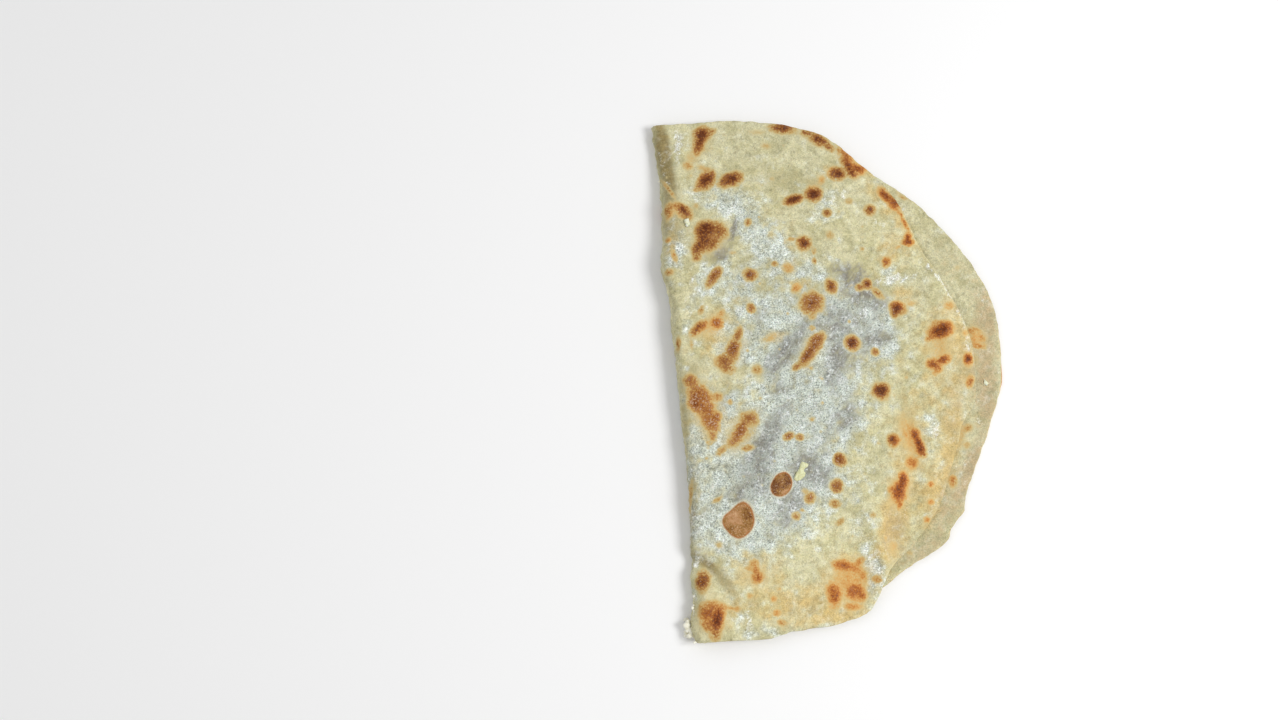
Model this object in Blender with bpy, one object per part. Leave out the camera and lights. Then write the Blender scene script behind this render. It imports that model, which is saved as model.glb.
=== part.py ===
"""A baleada: one soft wheat tortilla folded in half over a thin layer of mashed beans,
with bits of crumbled cheese stuck to it. Metres, +Z up, resting on its under flap.

While it is being shaped, x runs from the fold to the open edge, y along the fold, and
z = 0 is the table. The last step moves the middle of its footprint to the origin.
"""

import math

import bpy
from mathutils import Matrix, Vector, noise
from mathutils.bvhtree import BVHTree
from mathutils.geometry import delaunay_2d_cdt

# Edge of each flap, seen from above: degrees round the middle of the fold, where 0 points
# straight away from the fold, and metres from there to the edge.
TOP_EDGE = (
    (-90, 0.1058), (-76, 0.1095), (-69, 0.1118), (-61, 0.1178), (-55, 0.1208), (-47, 0.1157),
    (-39, 0.1174), (-34, 0.1185), (-29, 0.1191), (-24, 0.1188), (-20, 0.1188), (-16, 0.1193),
    (-13, 0.1199), (-11, 0.1217), (-8, 0.1246), (-4, 0.1251), (1, 0.1256), (4, 0.1253),
    (9, 0.1241), (18, 0.1214), (25, 0.1202), (33, 0.1243), (40, 0.1256), (46, 0.1261),
    (54, 0.1279), (62, 0.1248), (73, 0.1194), (82, 0.1162), (90, 0.1150),
)
UNDER_EDGE = (
    (-75, 0.1070), (-62, 0.1130), (-54, 0.1172), (-46, 0.1196), (-41, 0.1227), (-38, 0.1256),
    (-35, 0.1280), (-33, 0.1276), (-31, 0.1285), (-29, 0.1300), (-27, 0.1287), (-24, 0.1282),
    (-19, 0.1292), (-15, 0.1309), (-11, 0.1323), (-5, 0.1373), (2, 0.1389), (10, 0.1401),
    (18, 0.1372), (26, 0.1334), (33, 0.1316), (41, 0.1271), (50, 0.1234), (60, 0.1222),
    (74, 0.1168),
)
FILL_EDGE = (
    (-90, 0.070), (-65, 0.077), (-40, 0.079), (-15, 0.083), (5, 0.092), (20, 0.098),
    (35, 0.093), (50, 0.085), (70, 0.087), (90, 0.084),
)
EDGE_RAGGED = 0.0011  # how far the hand-stretched edge wanders in and out
EDGE_RAGGED_PER_TURN = 5.5
EDGE_SEED = 0.37

DOUGH = 0.0024  # thickness of the tortilla
DOUGH_EDGE = 0.0015
THINNED_FROM = 0.80  # share of the reach where the dough starts to thin

FOLD_DEPTH = 0.0042  # how far the outside of the bend takes to come over, seen from above
FOLD_ALONG = 0.0070  # the stretch of sheet that bends, each side of the fold line
FOLD_EASE = 0.025  # past this distance from the fold, the sheet lies as measured
FOLD_SPRING = 0.0014  # how far the dough holds the fold open by itself
FOLD_SPRING_REACH = 0.014
# Where the fold line bulges out (+) or dips in (-): y along the fold, spread, how far.
FOLD_BULGES = (
    (0.086, 0.020, -0.0015), (0.051, 0.008, 0.0015), (0.032, 0.007, -0.0010),
    (0.006, 0.016, -0.0010), (-0.034, 0.024, -0.0015), (-0.081, 0.006, 0.0014),
    (-0.099, 0.008, 0.0030),
)

LIP_GAP = 0.0007  # between the flaps where nothing lies between them
FILL_THICK = 0.0040
FILL_LUMP = 0.0011
FILL_LUMP_SIZE = 0.030
FILL_LUMP_SEED = 0.37
FILL_SHOULDER = 0.55  # share of the beans' reach where they start to thin out
FLAP_DOWN = 1.2  # and where the top flap has come down on the under flap
FILL_CLEAR = 0.00045  # free space over and under the beans
FILL_THINNEST = 0.0003

RIM_FROM = 0.80  # share of the reach where a flap leaves the table or its neighbour
RIM_DONE = 1.03  # and where it has left as far as it will
UNDER_RIM_LIFT = 0.0028
TOP_RIM_GAPE = 0.0020
RIM_WAVES_PER_TURN = 1.9
RIM_WAVE_MIDDLE = 0.45
RIM_WAVE_SWING = 0.9
UNDER_WAVE_SEED = 0.7
TOP_WAVE_SEED = 2.9

# Soft creases of the top flap: the points each runs through, half width, height (a valley
# is minus).
CREASES = (
    (((0.0000, -0.0725), (0.0075, -0.0765), (0.0132, -0.0845), (0.0166, -0.0915)), 0.0042, -0.0018),
    (((0.0040, -0.0880), (0.0080, -0.0980)), 0.0065, 0.0016),
    (((0.0725, -0.0560), (0.0756, -0.0720), (0.0778, -0.0862)), 0.0062, 0.0021),
    (((0.0890, -0.0260), (0.0885, -0.0720)), 0.0075, -0.0012),
    (((0.1000, -0.0200), (0.0975, -0.0560)), 0.0065, 0.0010),
    (((0.1020, 0.0540), (0.1120, 0.0340), (0.1175, 0.0100)), 0.0060, 0.0013),
    (((0.0110, 0.1000), (0.0060, 0.0760)), 0.0060, 0.0014),
)

SHEET_SPACING = 0.0047  # between the corners of the mesh's triangles
FILL_SPACING = 0.0056
BEND_CLOSER = 2.6  # how many times closer its rows lie where the sheet bends
EDGE_STEPS = 1440
EDGE_MARGIN = 0.6  # of the spacing, kept free inside the edge
SAME_POINT = 1e-7

# Bits of crumbled cheese: place, length, width, thickness, degrees turned, bend of its spine.
CHEESE_BITS = {
    "cheese_flake": ((0.0477, -0.0414), 0.0076, 0.0027, 0.0011, 68, 0.0013),
    "cheese_crumb": ((0.0113, 0.0690), 0.0034, 0.0021, 0.0012, 112, 0.0002),
    "cheese_sliver": ((0.1303, -0.0107), 0.0029, 0.0017, 0.0010, 112, 0.0002),
}
CHEESE_SUNK = 0.0005  # how far the bits are pressed into the dough
CHEESE_NICKS = 0.35  # how far the nicks of a bit's edge go, as a share of its half width
CHEESE_NICKS_PER_TURN = 2
CHEESE_TAPER = 0.3
CHEESE_CROWN = 0.45  # share of the thickness that a bit loses towards its edge
CHEESE_RINGS = 3
CHEESE_SPOKES = 14

# Colour and roughness of each finish.
DOUGH_FINISH = ((0.62, 0.57, 0.34, 1), 0.6)
BEAN_FINISH = ((0.13, 0.055, 0.055, 1), 0.5)
CHEESE_FINISH = ((0.78, 0.77, 0.55, 1), 0.55)


def smooth(low, high, value):
    """0 up to low, 1 from high, and an even S between them."""
    t = min(1.0, max(0.0, (value - low) / (high - low)))
    return t * t * (3 - 2 * t)


def through_knots(knots, angle):
    """A smooth curve through (degrees, reach) knots that go once round."""
    count = len(knots)
    turn = angle % 360
    after = next((i for i, knot in enumerate(knots) if knot[0] % 360 > turn), 0)
    spots = []
    for step in (-2, -1, 0, 1):
        degrees, reach = knots[(after + step) % count]
        offset = (degrees - angle + 180) % 360 - 180
        spots.append((offset, reach))
    (a0, r0), (a1, r1), (a2, r2), (a3, r3) = spots
    span = a2 - a1
    slope_1 = (r2 - r0) / (a2 - a0) * span
    slope_2 = (r3 - r1) / (a3 - a1) * span
    t = -a1 / span
    return (
        (2 * t**3 - 3 * t**2 + 1) * r1
        + (t**3 - 2 * t**2 + t) * slope_1
        + (3 * t**2 - 2 * t**3) * r2
        + (t**3 - t**2) * slope_2
    )


def round_knots(near_side, far_side):
    """Knots of the unrolled sheet, from 0 degrees: one flap, then the other turned over."""
    turned = [(180 - degrees, reach) for degrees, reach in far_side]
    return sorted((degrees % 360, reach) for degrees, reach in list(near_side) + turned)


SHEET_KNOTS = round_knots(TOP_EDGE, UNDER_EDGE)
FILL_KNOTS = round_knots(FILL_EDGE, FILL_EDGE[1:-1])


def sheet_reach(angle):
    """From the middle of the fold to the edge of the unrolled sheet, in this direction."""
    turn = math.radians(angle)
    spot = Vector((math.cos(turn), math.sin(turn), EDGE_SEED)) * EDGE_RAGGED_PER_TURN
    return through_knots(SHEET_KNOTS, angle) + EDGE_RAGGED * noise.noise(spot)


def edge_reach(angle, knots):
    return sheet_reach(angle) if knots is SHEET_KNOTS else through_knots(knots, angle)


def share_out(x, y, knots):
    """Distance from the middle of the fold as a share of the edge's distance, and the angle."""
    angle = math.degrees(math.atan2(y, x))
    return math.hypot(x, y) / edge_reach(angle, knots), angle


def fold_line(y):
    return sum(-out * math.exp(-(((y - at) / spread) ** 2)) for at, spread, out in FOLD_BULGES)


def rim_wave(angle, seed):
    """A slow uneven wave round the rim, from 0 to 1."""
    turn = math.radians(angle)
    spot = Vector((math.cos(turn), math.sin(turn), seed)) * RIM_WAVES_PER_TURN
    return min(1.0, max(0.0, RIM_WAVE_MIDDLE + RIM_WAVE_SWING * noise.noise(spot)))


def under_bottom(x, y):
    """Height of the under flap's lower face: flat on the table, with a rim that lifts."""
    share, angle = share_out(-x, y, SHEET_KNOTS)
    return UNDER_RIM_LIFT * smooth(RIM_FROM, RIM_DONE, share) * rim_wave(angle, UNDER_WAVE_SEED)


def dough_thickness(share):
    return DOUGH + (DOUGH_EDGE - DOUGH) * smooth(THINNED_FROM, 1.0, share)


def under_top(x, y):
    share, _ = share_out(-x, y, SHEET_KNOTS)
    return under_bottom(x, y) + dough_thickness(share)


def fill_thickness(x, y):
    """Free height that the uneven pat of mashed beans gives, out to where the flaps meet."""
    share, _ = share_out(x, y, FILL_KNOTS)
    lump = noise.noise(Vector((x / FILL_LUMP_SIZE, y / FILL_LUMP_SIZE, FILL_LUMP_SEED)))
    return (1 - smooth(FILL_SHOULDER, FLAP_DOWN, share)) * (FILL_THICK + FILL_LUMP * lump)


def flap_gap(x, y):
    """Free height between the flaps: the beans, the spring of the fold, and the rim's gape."""
    share, angle = share_out(x, y, SHEET_KNOTS)
    gape = TOP_RIM_GAPE * smooth(RIM_FROM, RIM_DONE, share) * rim_wave(angle, TOP_WAVE_SEED)
    spring = FOLD_SPRING * math.exp(-max(x, 0.0) / FOLD_SPRING_REACH)
    return LIP_GAP + fill_thickness(x, y) + spring + gape


def distance_to_run(place, run):
    """From a place to the nearest point of a line that runs through several points."""
    nearest = math.inf
    for start, end in zip(run, run[1:]):
        along = Vector(end) - Vector(start)
        t = (place - Vector(start)).dot(along) / along.length_squared
        foot = Vector(start) + along * min(1.0, max(0.0, t))
        nearest = min(nearest, (place - foot).length)
    return nearest


def crease_height(x, y):
    height = 0.0
    for run, half_width, rise in CREASES:
        away = distance_to_run(Vector((x, y)), run) / half_width
        height += rise * math.exp(-away * away)
    return height


def top_bottom(x, y):
    """Height of the top flap's lower face. A crease that dips never reaches the under flap."""
    gap = flap_gap(x, y)
    dip = crease_height(x, y)
    return under_top(x, y) + max(gap + dip, min(gap, LIP_GAP))


def top_top(x, y):
    share, _ = share_out(x, y, SHEET_KNOTS)
    return top_bottom(x, y) + dough_thickness(share)


def folded(across, y, outside):
    """A point of the unrolled sheet, across metres from the fold line, once it is folded."""
    away = abs(across)
    bend = min(1.0, away / FOLD_ALONG) * math.pi / 2
    inset = 0.0 if outside else DOUGH
    if away < FOLD_ALONG:
        x = inset + (FOLD_DEPTH - inset) * (1 - math.cos(bend))
    else:
        ease = (away - FOLD_ALONG) / (FOLD_EASE - FOLD_ALONG)
        x = away if ease > 1 else FOLD_DEPTH + ease * (FOLD_EASE - FOLD_DEPTH)
    middle = under_top(FOLD_DEPTH, y) + flap_gap(FOLD_DEPTH, y) / 2
    face = {
        (True, True): top_top,
        (True, False): top_bottom,
        (False, True): under_bottom,
        (False, False): under_top,
    }[(across >= 0, outside)]
    z = middle + (face(x, y) - middle) * math.sin(bend)
    return Vector((x + fold_line(y) * max(0.0, 1 - x / FOLD_EASE), y, z))


def widen(across):
    """Opens up the stretch that bends, so that even rows there lie closer on the sheet."""
    near = min(abs(across), FOLD_ALONG)
    return math.copysign(near * BEND_CLOSER + abs(across) - near, across)


def narrow(wide):
    near = min(abs(wide), FOLD_ALONG * BEND_CLOSER)
    return math.copysign(near / BEND_CLOSER + abs(wide) - near, wide)


def walked(line, step):
    """Points about a step apart along a closed line."""
    legs = [(after - here).length for here, after in zip(line, line[1:] + line[:1])]
    count = round(sum(legs) / step)
    found, done, k = [], 0.0, 0
    for stop in range(count):
        target = sum(legs) * stop / count
        while done + legs[k] <= target:
            done += legs[k]
            k += 1
        found.append(line[k].lerp(line[(k + 1) % len(line)], (target - done) / legs[k]))
    return found


def net(edge, depth_inside, spacing):
    """Places spread evenly inside a closed edge, joined up with it as triangles.

    depth_inside tells how far inside the edge a place is. Gives the places, those on the
    edge first, the triangles, and how many places are on the edge.
    """
    rim = walked([Vector((widen(across), y)) for across, y in edge], spacing)
    spots = list(rim)
    row_step = spacing * math.sqrt(3) / 2
    low = min(spot.x for spot in rim), min(spot.y for spot in rim)
    high = max(spot.x for spot in rim), max(spot.y for spot in rim)
    for row in range(math.ceil(low[0] / row_step), math.floor(high[0] / row_step) + 1):
        shift = row % 2 / 2
        for k in range(math.ceil(low[1] / spacing - shift), math.floor(high[1] / spacing) + 1):
            spot = Vector((row * row_step, (k + shift) * spacing))
            if depth_inside(narrow(spot.x), spot.y) > EDGE_MARGIN * spacing:
                spots.append(spot)
    outline = list(range(len(rim)))
    places, _, triangles, *_ = delaunay_2d_cdt(spots, [], [outline], 1, SAME_POINT)
    return [(narrow(spot.x), spot.y) for spot in places], triangles, len(rim)


def slab(name, triangles, rim, upper, lower):
    """A closed solid between two skins over the same net of triangles."""
    count = len(upper)
    faces = [list(corners) for corners in triangles]
    faces += [[count + corner for corner in reversed(corners)] for corners in triangles]
    for here in range(rim):
        after = (here + 1) % rim
        faces.append([after, here, count + here])
        faces.append([after, count + here, count + after])
    mesh = bpy.data.meshes.new(name)
    mesh.from_pydata(upper + lower, [], faces)
    mesh.shade_smooth()
    made = bpy.data.objects.new(name, mesh)
    bpy.context.scene.collection.objects.link(made)
    return made


def finish(name, look):
    colour, roughness = look
    made = bpy.data.materials.new(name)
    made.use_nodes = True
    shader = made.node_tree.nodes["Principled BSDF"]
    shader.inputs["Base Color"].default_value = colour
    shader.inputs["Roughness"].default_value = roughness
    return made


def edge_line(knots):
    """A fine closed line round the sheet or the beans, as places."""
    line = []
    for step in range(EDGE_STEPS):
        angle = 360 * step / EDGE_STEPS - 180
        reach = edge_reach(angle, knots)
        line.append((reach * math.cos(math.radians(angle)), reach * math.sin(math.radians(angle))))
    return line


def depth_in(knots):
    """Measures how far inside its edge a place is."""

    def depth(x, y):
        return edge_reach(math.degrees(math.atan2(y, x)), knots) - math.hypot(x, y)

    return depth


def tortilla():
    """The folded sheet: its outer face and its inner face, joined round the edge."""
    places, triangles, rim = net(edge_line(SHEET_KNOTS), depth_in(SHEET_KNOTS), SHEET_SPACING)
    outer = [folded(across, y, True) for across, y in places]
    inner = [folded(across, y, False) for across, y in places]
    made = slab("tortilla", triangles, rim, outer, inner)
    made.data.materials.append(finish("toasted_dough", DOUGH_FINISH))
    return made


def bean_filling():
    """The pat of mashed beans between the flaps, rounded where it meets the fold."""
    nose = DOUGH + FILL_CLEAR
    from_edge = depth_in(FILL_KNOTS)
    places, triangles, rim = net(
        [(x, y) for x, y in edge_line(FILL_KNOTS) if x > nose],
        lambda x, y: min(from_edge(x, y), x - nose),
        FILL_SPACING,
    )
    upper, lower = [], []
    for x, y in places:
        low, high = under_top(x, y), top_bottom(x, y)
        bend = min(1.0, (x - DOUGH) / (FOLD_DEPTH - DOUGH))
        half = (high - low) / 2 * math.sqrt(1 - (1 - bend) ** 2) - FILL_CLEAR
        half = max(half, FILL_THINNEST / 2)
        eased_x = x + fold_line(y) * max(0.0, 1 - x / FOLD_EASE)
        upper.append(Vector((eased_x, y, (high + low) / 2 + half)))
        lower.append(Vector((eased_x, y, (high + low) / 2 - half)))
    made = slab("bean_filling", triangles, rim, upper, lower)
    made.data.materials.append(finish("mashed_beans", BEAN_FINISH))
    return made


def cheese_bit(name, ground):
    """A small bent flake of cheese, its underside just below the surface it sticks to."""
    (x, y), length, width, thick, degrees, bow = CHEESE_BITS[name]
    rim = []
    for k in range(CHEESE_SPOKES):
        turn = 2 * math.pi * k / CHEESE_SPOKES
        spot = Vector((math.cos(turn), math.sin(turn), length * 1e3)) * CHEESE_NICKS_PER_TURN
        nicked = 1 + CHEESE_NICKS * noise.noise(spot)
        along = math.cos(turn) * length / 2
        side = math.sin(turn) * width / 2 * nicked * (1 - CHEESE_TAPER * math.cos(turn))
        rim.append(Vector((along, side + bow * (1 - (2 * along / length) ** 2))))
    middle = sum(rim, Vector((0, 0))) / CHEESE_SPOKES
    turned = Matrix.Rotation(math.radians(degrees), 2)
    shares = [(ring + 1) / CHEESE_RINGS for ring in range(CHEESE_RINGS)]
    flat = [middle] + [middle + (p - middle) * share for share in shares for p in rim]
    crowns = [1.0] + [1.0 - CHEESE_CROWN * share**2 for share in shares for _ in rim]
    points = {True: [], False: []}
    for spot, crown in zip(flat, crowns):
        place = Vector((x, y)) + turned @ spot
        skin = ground.ray_cast(Vector((*place, 1)), Vector((0, 0, -1)))[0].z
        points[True].append(Vector((*place, skin + thick * crown)))
        points[False].append(Vector((*place, skin - CHEESE_SUNK)))
    count = len(flat)
    faces = []
    for level, turn_over in ((0, False), (count, True)):
        for k in range(CHEESE_SPOKES):
            after = (k + 1) % CHEESE_SPOKES
            found = [[0, 1 + k, 1 + after]]
            for ring in range(CHEESE_RINGS - 1):
                a, b = 1 + ring * CHEESE_SPOKES, 1 + (ring + 1) * CHEESE_SPOKES
                found += [[a + k, b + k, b + after], [a + k, b + after, a + after]]
            for face in found:
                face = [level + corner for corner in face]
                faces.append(face[::-1] if turn_over else face)
    last = 1 + (CHEESE_RINGS - 1) * CHEESE_SPOKES
    for k in range(CHEESE_SPOKES):
        here, after = last + k, last + (k + 1) % CHEESE_SPOKES
        faces.append([here, count + here, count + after])
        faces.append([here, count + after, after])
    mesh = bpy.data.meshes.new(name)
    mesh.from_pydata(points[True] + points[False], [], faces)
    return bpy.data.objects.new(name, mesh)


def stick_cheese_to(sheet):
    """Fuses the bits of cheese to the tortilla, so that they are one solid."""
    ground = BVHTree.FromPolygons(
        [v.co.copy() for v in sheet.data.vertices], [tuple(f.vertices) for f in sheet.data.polygons]
    )
    cheese = finish("crumbled_cheese", CHEESE_FINISH)
    bits = bpy.data.collections.new("cheese_bits")
    bpy.context.scene.collection.children.link(bits)
    for name in CHEESE_BITS:
        bit = cheese_bit(name, ground)
        bit.data.materials.append(cheese)
        bits.objects.link(bit)
    join = sheet.modifiers.new("join", "BOOLEAN")
    join.operation = "UNION"
    join.solver = "EXACT"
    join.material_mode = "TRANSFER"
    join.operand_type = "COLLECTION"
    join.collection = bits
    joined = sheet.evaluated_get(bpy.context.evaluated_depsgraph_get())
    sheet.data = bpy.data.meshes.new_from_object(joined)
    sheet.modifiers.clear()
    for bit in list(bits.objects):
        bpy.data.objects.remove(bit)
    bpy.data.collections.remove(bits)


def centre_on_origin(pieces):
    """Moves the middle of the footprint to the origin, and the lowest point to z = 0."""
    corners = [v.co for piece in pieces for v in piece.data.vertices]
    low = Vector(min(c[k] for c in corners) for k in range(3))
    high = Vector(max(c[k] for c in corners) for k in range(3))
    shift = Matrix.Translation((-(low.x + high.x) / 2, -(low.y + high.y) / 2, -low.z))
    for piece in pieces:
        piece.data.transform(shift)


def main():
    for left_over in list(bpy.data.objects):
        bpy.data.objects.remove(left_over)
    sheet = tortilla()
    stick_cheese_to(sheet)
    centre_on_origin([sheet, bean_filling()])


main()
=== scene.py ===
import math
import random

import bmesh
import bpy
import numpy as np
from mathutils import Matrix, Vector, noise
from mathutils.geometry import delaunay_2d_cdt


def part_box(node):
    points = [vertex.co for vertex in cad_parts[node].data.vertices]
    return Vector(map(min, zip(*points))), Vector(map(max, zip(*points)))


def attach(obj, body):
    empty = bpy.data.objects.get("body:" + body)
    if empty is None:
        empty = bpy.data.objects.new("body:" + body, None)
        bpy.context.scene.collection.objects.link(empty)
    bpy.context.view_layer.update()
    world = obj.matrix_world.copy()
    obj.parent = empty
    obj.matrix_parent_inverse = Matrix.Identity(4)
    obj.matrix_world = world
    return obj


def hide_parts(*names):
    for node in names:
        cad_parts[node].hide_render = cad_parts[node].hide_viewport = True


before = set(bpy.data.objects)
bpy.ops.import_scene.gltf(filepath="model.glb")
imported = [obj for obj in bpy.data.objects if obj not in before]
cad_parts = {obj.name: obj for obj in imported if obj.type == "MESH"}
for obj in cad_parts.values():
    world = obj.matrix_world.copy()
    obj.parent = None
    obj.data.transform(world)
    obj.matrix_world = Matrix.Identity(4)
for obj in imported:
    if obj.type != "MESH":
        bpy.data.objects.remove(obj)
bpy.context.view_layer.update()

mm = 0.001
photoSize = (1279, 720)


def paint(red, green, blue):
    # a colour as the eye sees it, 0 to 255, turned into the linear one that shaders use
    shares = (red / 255, green / 255, blue / 255)
    return tuple(c / 12.92 if c < 0.04045 else ((c + 0.055) / 1.055) ** 2.4 for c in shares) + (1,)


class Wire:
    # one value on its way through the nodes, so that shader maths can be written as sums
    def __init__(self, shader, socket):
        self.shader = shader
        self.socket = socket

    def calc(self, operation, first, second=0.0):
        return self.shader.add("ShaderNodeMath", {"operation": operation}, {0: first, 1: second})

    def __add__(self, other):
        return self.calc("ADD", self, other)

    def __radd__(self, other):
        return self.calc("ADD", other, self)

    def __sub__(self, other):
        return self.calc("SUBTRACT", self, other)

    def __rsub__(self, other):
        return self.calc("SUBTRACT", other, self)

    def __mul__(self, other):
        return self.calc("MULTIPLY", self, other)

    def __rmul__(self, other):
        return self.calc("MULTIPLY", other, self)

    def sine(self):
        return self.calc("SINE", self)

    def clipped(self, low, high):
        return self.calc("MINIMUM", self.calc("MAXIMUM", self, low), high)


class Shader:
    def __init__(self, name):
        self.material = bpy.data.materials.new(name)
        self.material.use_nodes = True
        self.nodes = self.material.node_tree.nodes
        self.links = self.material.node_tree.links
        self.nodes.clear()

    def add(self, kind, settings=None, inputs=None, out=0):
        # any node: its settings first, then the values or links of its sockets
        node = self.nodes.new(kind)
        for key, value in (settings or {}).items():
            if key == "stops":
                stops = node.color_ramp.elements
                while len(stops) < len(value):
                    stops.new(1)
                for stop, (place, colour) in zip(stops, value):
                    stop.position = place
                    stop.color = colour
            else:
                setattr(node, key, value)
        for key, value in (inputs or {}).items():
            if isinstance(value, Wire):
                self.links.new(value.socket, node.inputs[key])
            else:
                node.inputs[key].default_value = value
        return Wire(self, node.outputs[out]) if node.outputs else None

    def painted(self, name):
        # a number kept at each point of the mesh
        return self.add("ShaderNodeAttribute", {"attribute_name": name}, out=2)

    def place(self):
        return self.add("ShaderNodeTexCoord", out=3)

    def clouds(self, size, detail=2.0, rough=0.5, at=None, bend=0.0):
        # uneven patches about this many millimetres across, from -0.5 to 0.5
        inputs = {
            "Vector": at or self.place(), "Scale": 1 / (size * mm),
            "Detail": detail, "Roughness": rough, "Distortion": bend,
        }
        return self.add("ShaderNodeTexNoise", {}, inputs) - 0.5

    def rise(self, value, low, high):
        # 0 up to low, 1 from high, and an even S between them
        inputs = {"Value": value, "From Min": low, "From Max": high}
        return self.add("ShaderNodeMapRange", {"interpolation_type": "SMOOTHSTEP"}, inputs)

    def mix(self, share, first, second, how="MIX"):
        settings = {"data_type": "RGBA", "blend_type": how, "clamp_result": False}
        return self.add("ShaderNodeMix", settings, {0: share, 6: first, 7: second}, out=2)

    def ramp(self, value, *stops):
        return self.add("ShaderNodeValToRGB", {"stops": stops}, {"Fac": value})

    def bump(self, height, deep):
        return self.add("ShaderNodeBump", {}, {"Height": height, "Distance": deep * mm})

    def finish(self, **inputs):
        named = {key.replace("_", " "): value for key, value in inputs.items()}
        surface = self.add("ShaderNodeBsdfPrincipled", {}, named)
        self.add("ShaderNodeOutputMaterial", {}, {"Surface": surface})
        return self.material


camera = {
    "azimuth": -5.0,
    "elevation": 78.0,
    "lens": 35.0,
    "sensor": 36.0,
    "away": 522.3,  # mm from what it looks at
    "aim": (-14.1, 11.3, 6.0),  # mm from the middle of the fold
    "near": 0.01,  # metres, the closest that it shows
}


def cameraAxes():
    azimuth, elevation = math.radians(camera["azimuth"]), math.radians(camera["elevation"])
    flat = math.cos(elevation)
    back = Vector((math.sin(azimuth) * flat, -math.cos(azimuth) * flat, math.sin(elevation)))
    right = Vector((math.cos(azimuth), math.sin(azimuth), 0))
    return right, back.cross(right), back


def photoPlace(px, py, height):
    # the spot in mm, at this height, that the camera sees at a pixel of the photo
    right, up, back = cameraAxes()
    deep = photoSize[0] * camera["lens"] / camera["sensor"]
    ray = right * (px - photoSize[0] / 2) - up * (py - photoSize[1] / 2) - back * deep
    eye = Vector(camera["aim"]) + back * camera["away"]
    spot = eye + ray * ((height - eye.z) / ray.z)
    return spot.x, spot.y


def photoScale():
    # mm that one pixel of the photo covers on the top flap
    return camera["away"] * camera["sensor"] / camera["lens"] / photoSize[0]


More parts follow.
